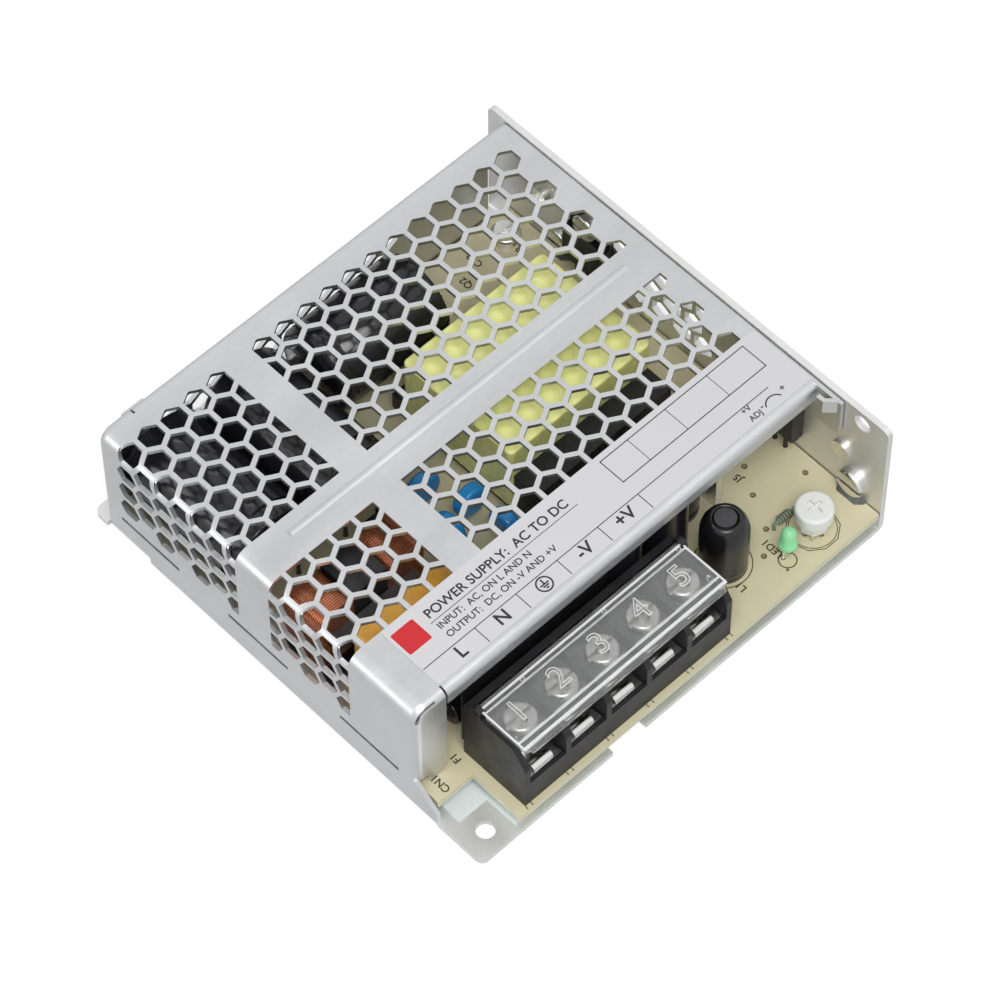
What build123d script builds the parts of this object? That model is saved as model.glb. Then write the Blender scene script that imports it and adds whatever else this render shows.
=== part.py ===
from build123d import *

import math
import os

# Slim enclosed power supply: an L-shaped sheet chassis, a perforated folded cover and a loaded
# circuit board with a five-way screw terminal block. Units are millimetres. The origin is the
# centre of the footprint on the underside, +X runs along the terminal row and +Y to the rear.

# Case
case_width = 97.0
case_depth = 98.0
case_height = 30.0
running_gap = 0.2

# Chassis sheet
base_gauge = 1.2
base_bend_inner = 0.6
base_corner_radius = 1.5
tab_hole_radius = 1.75
tab_hole_from_left = 4.9
tab_hole_from_front = 4.2
front_notch_centre_x = -13.75
front_notch_width = 7.9
front_notch_depth = 3.0
front_notch_radius = 1.0
wall_hole_radius = 1.8
wall_hole_from_front = 6.0
wall_hole_from_top = 2.95
standoff_height = 2.8
standoff_radius = 3.0
left_rail_height = 2.2

# Cover sheet
cover_gauge = 0.8
cover_drop = 0.6
front_tray_depth = 15.6
rear_tab_depth = 3.6
cover_bend_left = 3.0
cover_bend_ends = 1.6
lip_height = 3.7
lip_right_gap = 0.8
flange_width = 7.1
slit_width = 0.4
relief_width = 0.5
relief_inset = 0.7
relief_run = 1.9
flange_tongue_width = 4.7
flange_foot_top = 8.3
wall_foot_reach = 4.8
wall_foot_tip_height = 3.4
wall_floor_gap = 0.8
wall_step_from_rear = 11.4
wall_step_height = 3.2
rear_wall_right_gap = 4.1
lance_height = 0.9
lance_bottom = 7.05
lance_lip_height = 1.2
lance_spans = ((4.5, 18.9), (31.9, 46.9), (59.4, 74.3))
bead_width = 1.4
bead_height = 0.3
bead_left_inset = 9.7
bead_offset = 0.9
bead_right_inset = 6.6

# Vent pattern of the cover
vent_pitch = 5.244
vent_web = 0.94
vent_origin_x = 12.816
vent_origin_y = -2.727
label_strip = 16.1
vent_rear_margin = 4.9
vent_right_margin = 3.1
cross_bar_y = 6.4
cross_bar_width = 8.2
long_bar_x = -21.2
long_bar_width = 6.4
left_vent_bottom = 8.7
rear_vent_left = -36.0
rear_vent_right = 21.0
wall_vent_front = -8.0
wall_vent_rear = 18.0
end_vent_bottom = 9.2
end_vent_rows = 3
smallest_vent_area = 1.5

# Snap tongue at the right end of the lip
tongue_length = 5.4
tongue_drop = 9.2
tongue_root = 3.0
tongue_corner = 1.6
wing_reach = 2.6
wing_height = 3.2

# Outside flap of the left wall around the rear corner
rear_flap_width = 11.0
rear_flap_start = 6.2
rear_flap_thickness = 0.6
rear_flap_low = 8.0

# Label
label_thickness = 0.1
label_left_inset = 7.3
label_right_inset = 0.4
label_front_inset = 0.3
label_corner = 1.0

# Insulating sheet
sheet_gauge = 0.3
sheet_side_inset = 2.7
sheet_right_inset = 0.8
sheet_front_inset = 1.4
sheet_rear_inset = 0.6
sheet_corner_reach = 3.3

# Circuit board
board_gauge = 1.6
board_left_inset = 1.1
board_front_inset = 0.1
board_rear_gap = 0.3
board_notch_width = 8.0
board_notch_depth = 11.5
screw_pocket_side = 0.3
screw_pocket_chamfer = 1.2
board_screw_tip = 0.4
rear_screw_places = ((0.586, 0.954), (0.946, 0.943))
front_screw_share = 0.052
front_screw_gap = 1.9
spare_hole_places = ((0.898, 0.249), (0.864, 0.193), (0.828, 0.123), (0.783, 0.084), (0.969, 0.160))

# Leads and the holes they pass through
lead_radius = 0.4
lead_clearance = 0.1
lead_stub = 1.4

# Screws
machine_screw_radius = 1.5
thread_clearance = 0.05
pan_head_radius = 2.8
pan_head_height = 2.0
head_round = 0.7
wall_screw_head_radius = 3.0
wall_screw_head_height = 1.6
slot_width = 0.9
slot_depth = 0.9
front_screw_from_front = 6.6
front_screw_height = 9.05
rear_screw_from_rear = 18.5
rear_screw_height = 8.8
stud_radius = 2.0
stud_rim = 0.7
stud_dome = 1.1
stud_shank_radius = 1.2
front_stud_from_front = 9.9
front_stud_height = 15.5
rear_stud_from_rear = 13.5
rear_stud_height = 16.5

# Terminal block
way_count = 5
way_pitch = 9.5
barrier_thickness = 1.2
block_left_gap = 9.95
block_front_inset = 0.9
block_depth = 14.8
block_height = 15.0
block_floor = 5.4
block_sill_height = 0.8
block_sill_thickness = 0.7
barrier_front_height = 10.9
barrier_chamfer_depth = 3.0
block_rear_thickness = 1.4
ear_radius = 1.25
contact_thickness = 1.0
contact_width = 7.8
contact_rear_gap = 0.9
contact_leg_width = 1.0
contact_leg_from_rear = 3.2
curl_radius = 0.95
curl_width = 4.4
curl_from_front = 2.0
clamp_thickness = 1.0
clamp_corner = 0.8
clamp_width = 7.4
clamp_rise = 5.2
clamp_front_gap = 3.1
clamp_rear_gap = 3.0
terminal_screw_radius = 1.7
terminal_screw_from_front = 6.7
terminal_head_radius = 3.1
terminal_head_height = 2.2
terminal_shank_below = 0.1
clamp_hole_clearance = 0.2
screw_well_clearance = 0.5
screw_well_floor = 0.4
turning_clearance = 0.05

# Clear terminal cover
flap_thickness = 1.2
flap_gap = 0.2
flap_front_overhang = 0.2
flap_side_inset = 0.8
flap_corner = 1.0
flap_pin_radius = 0.55
flap_pin_clearance = 0.05
flap_pin_engagement = 0.9
flap_axis_from_rear = 2.8
flap_rib_width = 0.5
flap_rib_height = 0.35
flap_rear_rib = 1.5
flap_front_rib = 9.5
flap_lip_radius = 0.8
catch_width = 0.6
catch_depth = 1.2
catch_drop = 1.2
catch_from_front = 3.2

# Trimmer, lamp and small resistor by the adjustment mark
front_row_shares = (0.299, 0.166, 0.117)
trimmer_share_y = 0.065
trimmer_base_size = 5.8
trimmer_base_height = 3.9
trimmer_base_corner = 1.2
trimmer_stem_radius = 1.4
trimmer_knob_radius = 3.5
trimmer_knob_height = 2.6
trimmer_knob_gap = 0.2
trimmer_knob_round = 0.6
trimmer_recess_span = 3.2
trimmer_recess_width = 0.8
trimmer_recess_depth = 0.7
trimmer_lead_spread = 2.0
lamp_share_y = 0.056
lamp_radius = 1.5
lamp_flange_radius = 1.9
lamp_flange_height = 1.0
lamp_body_height = 2.4
lamp_rise = 2.7
lamp_lead_spread = 0.9
lamp_lead_radius = 0.3
resistor_share_y = 0.113
resistor_from_trimmer = 2.65
resistor_radius = 0.8
resistor_length = 3.0
resistor_rise = 1.4
resistor_round = 0.4

# Output choke
output_choke_share_y = 0.127
output_choke_radius = 4.5
output_choke_height = 14.4
output_choke_sleeve_wall = 0.5
output_choke_neck_radius = 2.0
output_choke_cone = 2.2
output_choke_roll = 0.9
output_choke_base = 0.5

# Output heatsink plate
heatsink_thickness = 1.5
heatsink_length = 14.5
heatsink_height = 15.4

# Transformer
middle_row_shares = (0.239, 0.200, 0.243)
right_column_shares = (0.196, 0.126)
transformer_width = 34.0
transformer_depth = 27.2
transformer_height = 18.4
transformer_tape = 0.5
transformer_corner = 1.2
bobbin_base = 2.4
bobbin_side_inset = 0.8
bobbin_terrace_depth = 5.8
bobbin_terrace_height = 11.4
bobbin_rear_depth = 3.6
bobbin_rear_height = 4.0
bobbin_pin_count = 4
bobbin_pin_pitch = 6.0

# Film capacitor
film_width = 25.5
film_depth = 10.4
film_height = 14.4
film_round = 0.8
film_lead_spread = 11.0

# Line choke
line_choke_share_x = 0.096
winding_width = 8.0
winding_length = 8.8
winding_height = 16.0
winding_round = 2.6
winding_spread = 8.0
line_base_height = 1.8
line_yoke_thickness = 2.3
line_leg_size = 3.6
line_post_height = 16.0

# Bulk capacitors, lying down
bulk_row_shares = (0.111, 0.0415)
bulk_radius = 9.0
bulk_length = 29.0
bulk_float = 0.2
bulk_groove = 2.6
bulk_groove_depth = 0.5
bulk_lead_reach = 1.6
bulk_lead_spread = 3.75

# Output capacitors, upright
can_row_shares = (0.071, 0.385, 0.031, 0.026)
third_can_step_x = 8.31
third_can_step_y = 3.82
output_capacitor_radii = (5.0, 5.0, 4.0)
output_capacitor_height = 18.0
can_rim_round = 0.6
can_groove_depth = 0.35
can_groove_from_base = 1.6
can_groove_width = 0.8
can_lead_spread = 1.9

# Disc parts
disc_row_shares = (0.721, 0.159)
lone_disc_share_x = 0.8625
second_disc_step_y = -1.96
y_capacitor_radius = 3.4
y_capacitor_thickness = 2.8
middle_column_shares = (0.067, 0.156, 0.015, 0.234, 0.345)
thermistor_radius = 4.5
thermistor_thickness = 3.4
disc_rise = 1.2
disc_round = 0.9

# Fuse and bridge rectifier
left_column_shares = (0.202, 0.265, 0.040, 0.415)
fuse_radius = 2.7
fuse_length = 20.0
fuse_rise = 0.3
fuse_lead_reach = 1.6
fuse_round = 0.5
bridge_row_shares = (0.201, 0.160)
bridge_to_bulk_gap = 1.48
bridge_width = 6.4
bridge_depth = 8.4
bridge_height = 3.2
bridge_rise = 0.6
bridge_chamfer = 0.5
bridge_lead_inset = 1.2

# Power devices bolted to the wall
device_width = 10.0
device_body_height = 9.2
device_tab_height = 6.4
device_tab_thickness = 1.0
device_body_thickness = 2.8
device_rise = 4.2
device_pad_gap = 0.15
device_chamfer = 0.5
device_lead_pitch = 2.54
rectifier_place_y = 0.256
switch_place_y = 0.760

# Planes and edges that the pieces share
case_left = -case_width / 2
case_right = case_width / 2
case_front = -case_depth / 2
case_rear = case_depth / 2
wall_inner = case_right - base_gauge

cover_top = case_height - cover_drop
cover_under = cover_top - cover_gauge
cover_left = case_left
cover_right = wall_inner - running_gap
cover_front = case_front + front_tray_depth
cover_rear = case_rear - rear_tab_depth
cover_wall_inner = cover_left + cover_gauge

board_under = base_gauge + standoff_height
board_top = board_under + board_gauge
board_left = case_left + board_left_inset
board_right = wall_inner - running_gap
board_front = case_front + board_front_inset
board_rear = cover_rear - cover_gauge - board_rear_gap
lead_end = board_under - lead_stub

block_left = board_left + block_left_gap
block_width = way_count * way_pitch + barrier_thickness
block_right = block_left + block_width
block_front = board_front + block_front_inset
block_rear = block_front + block_depth
block_top = board_top + block_height
floor_top = board_top + block_floor
contact_top = floor_top + contact_thickness
clamp_under = contact_top + clamp_rise
clamp_top = clamp_under + clamp_thickness
head_top = clamp_top + terminal_head_height
terminal_screw_y = block_front + terminal_screw_from_front
way_centres = [block_left + barrier_thickness / 2 + way_pitch * (k + 0.5) for k in range(way_count)]

flap_under = block_top + flap_gap
flap_top = flap_under + flap_thickness
flap_axis_y = block_rear - flap_axis_from_rear
flap_axis_z = flap_under + flap_thickness / 2

front_screw_y = case_front + front_screw_from_front
rear_screw_y = case_rear - rear_screw_from_rear
front_stud_y = case_front + front_stud_from_front
rear_stud_y = case_rear - rear_stud_from_rear

cell_across = vent_pitch - vent_web
cell_radius = cell_across / math.sqrt(3)
row_pitch = vent_pitch * math.sqrt(3) / 2

board_holes = []
board_slots = []


# Shapes that many pieces are made from

def block(x0, x1, y0, y1, z0, z1):
    """Box between two values on each axis."""
    centre = Pos((x0 + x1) / 2, (y0 + y1) / 2, (z0 + z1) / 2)
    return centre * Box(x1 - x0, y1 - y0, z1 - z0)


def post(x, y, z0, z1, radius):
    """Upright cylinder between two heights."""
    return Pos(x, y, (z0 + z1) / 2) * Cylinder(radius, z1 - z0)


def bar_x(y, z, x0, x1, radius):
    """Cylinder lying along X."""
    return Pos((x0 + x1) / 2, y, z) * Rot(0, 90, 0) * Cylinder(radius, x1 - x0)


def bar_y(x, z, y0, y1, radius):
    """Cylinder lying along Y."""
    return Pos(x, (y0 + y1) / 2, z) * Rot(90, 0, 0) * Cylinder(radius, y1 - y0)


def plate_x(outline, x0, x1):
    """Plate across X with a (y, z) outline."""
    edge = Polyline(*[(x0, y, z) for y, z in outline], close=True)
    return extrude(make_face(edge), amount=x1 - x0, dir=(1, 0, 0))


def plate_y(outline, y0, y1):
    """Plate across Y with an (x, z) outline."""
    edge = Polyline(*[(x, y0, z) for x, z in outline], close=True)
    return extrude(make_face(edge), amount=y1 - y0, dir=(0, 1, 0))


def plate_z(outline, z0, z1):
    """Plate across Z with an (x, y) outline."""
    edge = Polyline(*[(x, y, z0) for x, y in outline], close=True)
    return extrude(make_face(edge), amount=z1 - z0, dir=(0, 0, 1))


def round_edges(solid, axis, radius):
    """Round every edge that runs along one axis."""
    return fillet(solid.edges().filter_by(axis), radius)


def turned(profile, x, y):
    """Solid of revolution about a vertical axis, from an (r, z) outline."""
    edge = Polyline(*[(r, 0, z) for r, z in profile], close=True)
    return Pos(x, y, 0) * revolve(make_face(edge), Axis.Z)


def board_x(share):
    """X of a share of the board's width, counted from its left edge."""
    return board_left + share * (board_right - board_left)


def board_y(share):
    """Y of a share of the board's depth, counted from its front edge."""
    return board_front + share * (board_rear - board_front)


def lead(x, y, top, radius=lead_radius):
    """Wire lead from a part down through a hole in the board."""
    board_holes.append((x, y, radius + lead_clearance))
    return post(x, y, lead_end, top, radius)


# Places on the board

def spread(low, high, sizes, shares):
    """Centres of pieces in a row, each with its share of the row's free room in front of it."""
    free = high - low - sum(sizes)
    centres = []
    edge = low
    for size, share in zip(sizes, shares):
        edge += share * free
        centres.append(edge + size / 2)
        edge += size
    return centres


device_face = wall_inner - device_pad_gap - device_body_thickness
front_screw_x = board_x(front_screw_share)
board_screw_y = block_rear + front_screw_gap + pan_head_radius

# Left to right
output_choke_x, lamp_x, trimmer_x = spread(
    block_right, board_right, (2 * output_choke_radius, 2 * lamp_flange_radius, 2 * trimmer_knob_radius),
    front_row_shares)
resistor_x = trimmer_x - resistor_from_trimmer

fuse_span = fuse_length + 2 * (fuse_lead_reach + lead_radius)
can_radius, pair_radius, third_radius = output_capacitor_radii
can_pair_span = pair_radius + third_can_step_x + third_radius
fuse_x, first_can_x, can_pair_x, heatsink_x = spread(
    front_screw_x + pan_head_radius, device_face,
    (fuse_span, 2 * can_radius, can_pair_span, heatsink_thickness), can_row_shares)
second_can_x = can_pair_x - can_pair_span / 2 + pair_radius
third_can_x = second_can_x + third_can_step_x

film_x, thermistor_x, transformer_x = spread(
    board_left, device_face, (film_width, thermistor_thickness, transformer_width), middle_row_shares)
transformer_left = transformer_x - transformer_width / 2

line_choke_span = 2 * winding_spread + winding_width
line_choke_x = spread(board_left, transformer_left, (line_choke_span,), (line_choke_share_x,))[0]
line_choke_right = line_choke_x + line_choke_span / 2
bridge_x, rear_disc_x = spread(line_choke_right, transformer_left, (bridge_width, 2 * y_capacitor_radius),
                               bridge_row_shares)
middle_discs_x = spread(line_choke_right, transformer_left, (y_capacitor_thickness, 2 * y_capacitor_radius),
                        disc_row_shares)
front_disc_x = spread(line_choke_right, transformer_left, (y_capacitor_thickness,), (lone_disc_share_x,))[0]
bulk_x = spread(board_left, transformer_left, (2 * bulk_radius, 2 * bulk_radius), bulk_row_shares)

# Front to rear
line_choke_depth = winding_length + 2 * line_yoke_thickness
bulk_lead_room = bulk_lead_reach + lead_radius
fuse_y, film_y, line_choke_y, bulk_span_y = spread(
    block_rear, board_rear, (2 * fuse_radius, film_depth, line_choke_depth, bulk_length + bulk_lead_room),
    left_column_shares)
bulk_y = bulk_span_y + bulk_lead_room / 2
bulk_front = bulk_y - bulk_length / 2 - bulk_lead_room
bridge_y = bulk_front - bridge_to_bulk_gap - bridge_depth / 2

can_y, thermistor_y, front_disc_y, middle_disc_y, rear_disc_y = spread(
    block_rear, bulk_front, (2 * can_radius, 2 * thermistor_radius, 2 * y_capacitor_radius,
                             y_capacitor_thickness, y_capacitor_thickness), middle_column_shares)
third_can_y = can_y + third_can_step_y

transformer_run = bobbin_terrace_depth + transformer_depth + bobbin_rear_depth
heatsink_y, transformer_run_y = spread(cover_front, board_rear, (heatsink_length, transformer_run),
                                       right_column_shares)
transformer_y = transformer_run_y + (bobbin_terrace_depth - bobbin_rear_depth) / 2


# Vent cells

def hex_prism(depth):
    """Six-sided punch with flats towards +X and -X, centred on the origin."""
    outline = RegularPolygon(cell_radius, 6, rotation=90)
    return extrude(outline, amount=depth, both=True)


def cells_between(u0, u1, v0, v1, origin_u, origin_v):
    """Centres of the vent cells near a region, on one honeycomb lattice."""
    centres = []
    first_row = math.floor((v0 - origin_v) / row_pitch) - 1
    last_row = math.ceil((v1 - origin_v) / row_pitch) + 1
    for row in range(first_row, last_row + 1):
        v = origin_v + row * row_pitch
        shift = origin_u + (row % 2) * vent_pitch / 2
        first = math.floor((u0 - shift) / vent_pitch) - 1
        last = math.ceil((u1 - shift) / vent_pitch) + 1
        for step in range(first, last + 1):
            centres.append((shift + step * vent_pitch, v))
    return centres


def is_whole(u, v, u0, u1, v0, v1):
    """True where a whole cell fits in the region."""
    inside_u = u - cell_across / 2 >= u0 and u + cell_across / 2 <= u1
    inside_v = v - cell_radius >= v0 and v + cell_radius <= v1
    return inside_u and inside_v


def flat_vents(x0, x1, y0, y1, whole_at_right):
    """Punches for a region of the flat top, with edge cells cut to the region."""
    punch = hex_prism(2 * cover_gauge)
    region = block(x0, x1, y0, y1, cover_top - 3 * cover_gauge, cover_top + 3 * cover_gauge)
    punches = []
    for x, y in cells_between(x0, x1, y0, y1, vent_origin_x, vent_origin_y):
        hole = Pos(x, y, cover_top) * punch
        if is_whole(x, y, x0, x1, y0, y1):
            punches.append(hole)
            continue
        if x + cell_across / 2 <= x0 or x - cell_across / 2 >= x1:
            continue
        if whole_at_right and x + cell_across / 2 > x1:
            continue
        if y + cell_radius <= y0 or y - cell_radius >= y1:
            continue
        part_hole = hole & region
        area = sum(s.volume for s in part_hole.solids()) / (4 * cover_gauge)
        if area > smallest_vent_area:
            punches.extend(part_hole.solids())
    return punches


def whole_vents(plane_of, u0, u1, depth):
    """Punches for the rows of whole cells in an upright wall, between two ends."""
    punch = hex_prism(depth)
    punches = []
    first_row = end_vent_bottom + cell_radius
    top = first_row + (end_vent_rows - 1) * row_pitch + cell_radius
    for u, v in cells_between(u0, u1, end_vent_bottom, top, (u0 + u1) / 2, first_row):
        if is_whole(u, v, u0, u1, end_vent_bottom - 0.01, top + 0.01):
            punches.append(plane_of(u, v) * punch)
    return punches


bend_start_x = cover_left + cover_bend_left
bend_mid_radius = cover_bend_left - cover_gauge / 2
bend_length = math.pi / 2 * bend_mid_radius
bend_axis_z = cover_top - cover_bend_left


def around_bend(run, y, depth):
    """Point at a distance along the sheet past the left bend's start, and off its middle."""
    if run <= 0:
        return (bend_start_x - run, y, cover_top - cover_gauge / 2 + depth)
    if run >= bend_length:
        return (cover_left + cover_gauge / 2 - depth, y, bend_axis_z - (run - bend_length))
    angle = run / bend_mid_radius
    radius = bend_mid_radius + depth
    return (bend_start_x - radius * math.sin(angle), y, bend_axis_z + radius * math.cos(angle))


def wrapped_punch(run, y):
    """Six-sided punch that follows the sheet around the left bend."""
    half = cell_across / 2
    sections = []
    for share in (-1, -0.5, 0, 0.5, 1):
        reach = cell_radius * (1 - abs(share) / 2)
        at = run + share * half
        corners = [(y - reach, -cover_gauge), (y + reach, -cover_gauge),
                   (y + reach, cover_gauge), (y - reach, cover_gauge)]
        edge = Polyline(*[around_bend(at, v, depth) for v, depth in corners], close=True)
        sections.append(make_face(edge))
    return loft(sections, ruled=True)


def wrapped_vents(y0, y1):
    """Punches for the cells on the left bend and the left wall, cut at the field's two ends."""
    punches = []
    field = block(cover_left - 5, bend_start_x + 5, y0, y1, 0, case_height + 5)
    lowest_run = bend_length + bend_axis_z - left_vent_bottom
    x_low = bend_start_x - lowest_run
    for x, y in cells_between(x_low, bend_start_x, y0, y1, vent_origin_x, vent_origin_y):
        run = bend_start_x - x
        on_bend = run + cell_across / 2 > 0
        if not on_bend or run + cell_across / 2 > lowest_run:
            continue
        if y + cell_radius < y0 + vent_web or y - cell_radius > y1 - vent_web:
            continue
        punch = wrapped_punch(run, y)
        if y - cell_radius < y0 or y + cell_radius > y1:
            punches.extend((punch & field).solids())
        else:
            punches.append(punch)
    return punches


# Sheet metal

def standoff_centres():
    """Plan places of the chassis standoffs and their board screws."""
    return [(front_screw_x, board_screw_y)] + [(board_x(u), board_y(v)) for u, v in rear_screw_places]


def wall_bores():
    """Holes through the chassis wall: (y, z, radius)."""
    screw = machine_screw_radius + thread_clearance
    stud = stud_shank_radius + thread_clearance
    bores = [(case_front + wall_hole_from_front, case_height - wall_hole_from_top, wall_hole_radius)]
    bores.append((front_screw_y, front_screw_height, screw))
    bores.append((rear_screw_y, rear_screw_height, screw))
    bores.append((front_stud_y, front_stud_height, stud))
    bores.append((rear_stud_y, rear_stud_height, stud))
    for centre_y in (board_y(rectifier_place_y), board_y(switch_place_y)):
        bores.append((centre_y, device_screw_height, screw))
    return bores


device_bottom = board_top + device_rise
device_screw_height = device_bottom + device_body_height + device_tab_height / 2


def base_chassis():
    """Bottom plate and right wall folded from one sheet, with a low rail on the left."""
    bend_outer = base_bend_inner + base_gauge
    outer = block(case_left, case_right, case_front, case_rear, 0, case_height)
    outer = fillet(outer.edges().filter_by(Axis.Y).sort_by(Axis.Z)[:2].sort_by(Axis.X)[-1:], bend_outer)
    inner = block(case_left - 1, wall_inner, case_front - 1, case_rear + 1, base_gauge, case_height + 1)
    inner = fillet(inner.edges().filter_by(Axis.Y).sort_by(Axis.Z)[:2].sort_by(Axis.X)[-1:],
                   base_bend_inner)
    body = outer - inner
    left_corners = [e for e in body.edges().filter_by(Axis.Z) if e.center().X < case_left + 0.01]
    body = fillet(left_corners, base_corner_radius)
    top_corners = [e for e in body.edges().filter_by(Axis.X) if e.center().Z > case_height - 0.01]
    body = fillet(top_corners, base_corner_radius)
    # The plate steps in under the cover's left wall, between the two tabs.
    side_step = cover_gauge + 0.5 * running_gap
    body -= block(case_left - 1, case_left + side_step, cover_front - wall_foot_reach, cover_rear, -1, 5)
    rail_left = case_left + side_step
    body += block(rail_left, rail_left + base_gauge, cover_front + cover_bend_ends,
                  cover_rear - wall_step_from_rear, base_gauge, base_gauge + left_rail_height)
    # Front edge notch
    notch = block(front_notch_centre_x - front_notch_width / 2, front_notch_centre_x + front_notch_width / 2,
                  case_front - front_notch_depth, case_front + front_notch_depth, -1, 2 * base_gauge)
    body -= round_edges(notch, Axis.Z, front_notch_radius)
    tab_x = case_left + tab_hole_from_left
    tab_y = case_front + tab_hole_from_front
    body -= post(tab_x, tab_y, -1, 2 * base_gauge, tab_hole_radius)
    # Pressed standoffs with threads for the board screws
    for x, y in standoff_centres():
        body += post(x, y, base_gauge, board_under, standoff_radius)
    for x, y in standoff_centres():
        body -= post(x, y, -1, board_under + 1, machine_screw_radius + thread_clearance)
    for y, z, radius in wall_bores():
        body -= bar_x(y, z, wall_inner - 1, case_right + 1, radius)

    def on_wall(y, z):
        return Plane(origin=(case_right, y, z), x_dir=(0, 1, 0), z_dir=(1, 0, 0))

    return body - whole_vents(on_wall, wall_vent_front, wall_vent_rear, 2 * base_gauge)


def cover_blank(inset):
    """Solid under the cover's outer skin, moved in by a sheet thickness or by nothing."""
    spill = 2 if inset else 0
    solid = block(cover_left + inset, cover_right + spill, cover_front + inset, cover_rear - inset,
                  wall_floor_gap - spill, cover_top - inset)
    bend = [e for e in solid.edges().filter_by(Axis.Y)
            if e.center().X < 0 and e.center().Z > bend_axis_z]
    solid = fillet(bend, cover_bend_left - inset)
    for y in (cover_front + inset, cover_rear - inset):
        rim = [e for e in solid.edges() if abs(e.center().Y - y) < 0.001
               and e.center().Z > wall_floor_gap and e.center().X < cover_right - 0.01]
        solid = fillet(rim, cover_bend_ends - inset)
    return solid


def end_reliefs(y_face, inward):
    """Cuts that free an end flange from the top at a left corner: a slit and a curved slot."""
    y_in = y_face + inward * (cover_bend_ends + 0.2)
    y0 = min(y_face - inward, y_in)
    y1 = max(y_face - inward, y_in)
    slit_left = cover_left + flange_width
    cuts = [block(slit_left, slit_left + slit_width, y0, y1, -1, cover_top + 1)]
    outer = bar_y(bend_start_x, bend_axis_z, y0, y1, cover_bend_left - relief_inset + relief_width / 2)
    inner = bar_y(bend_start_x, bend_axis_z, y0 - 1, y1 + 1,
                  cover_bend_left - relief_inset - relief_width / 2)
    reach = cover_bend_left + relief_width
    quarter = block(bend_start_x - reach, bend_start_x, y0, y1, bend_axis_z, bend_axis_z + reach)
    cuts.append((outer - inner) & quarter)
    slot_z = bend_axis_z + cover_bend_left - relief_inset
    cuts.append(block(bend_start_x, bend_start_x + relief_run, y0, y1,
                      slot_z - relief_width / 2, slot_z + relief_width / 2))
    return cuts


def snap_tongue():
    """Tongue beside the lip: down along the wall, with its front edge turned inwards."""
    outer_x = cover_right
    inner_x = cover_right - cover_gauge
    tip_y = cover_front - tongue_length
    root_y = cover_front + tongue_root
    low = cover_top - tongue_drop
    side = block(inner_x, outer_x, tip_y, root_y, low, cover_top)
    front_low = [e for e in side.edges().filter_by(Axis.X) if e.center().Z < low + 0.01]
    side = fillet(front_low, tongue_corner)
    slant = cover_gauge * math.sqrt(2)
    wing = [(outer_x, tip_y), (outer_x, tip_y + slant), (outer_x - wing_reach, tip_y + slant + wing_reach),
            (outer_x - wing_reach, tip_y + wing_reach)]
    hook = [(outer_x - wing_reach, tip_y + wing_reach),
            (outer_x - wing_reach, tip_y + wing_reach + 2 * cover_gauge),
            (outer_x - wing_reach + cover_gauge, tip_y + wing_reach + 2 * cover_gauge),
            (outer_x - wing_reach + cover_gauge, tip_y + wing_reach)]
    tongue = side + plate_z(wing, cover_top - wing_height, cover_top)
    return tongue + plate_z(hook, cover_top - wing_height, cover_top)


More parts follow.
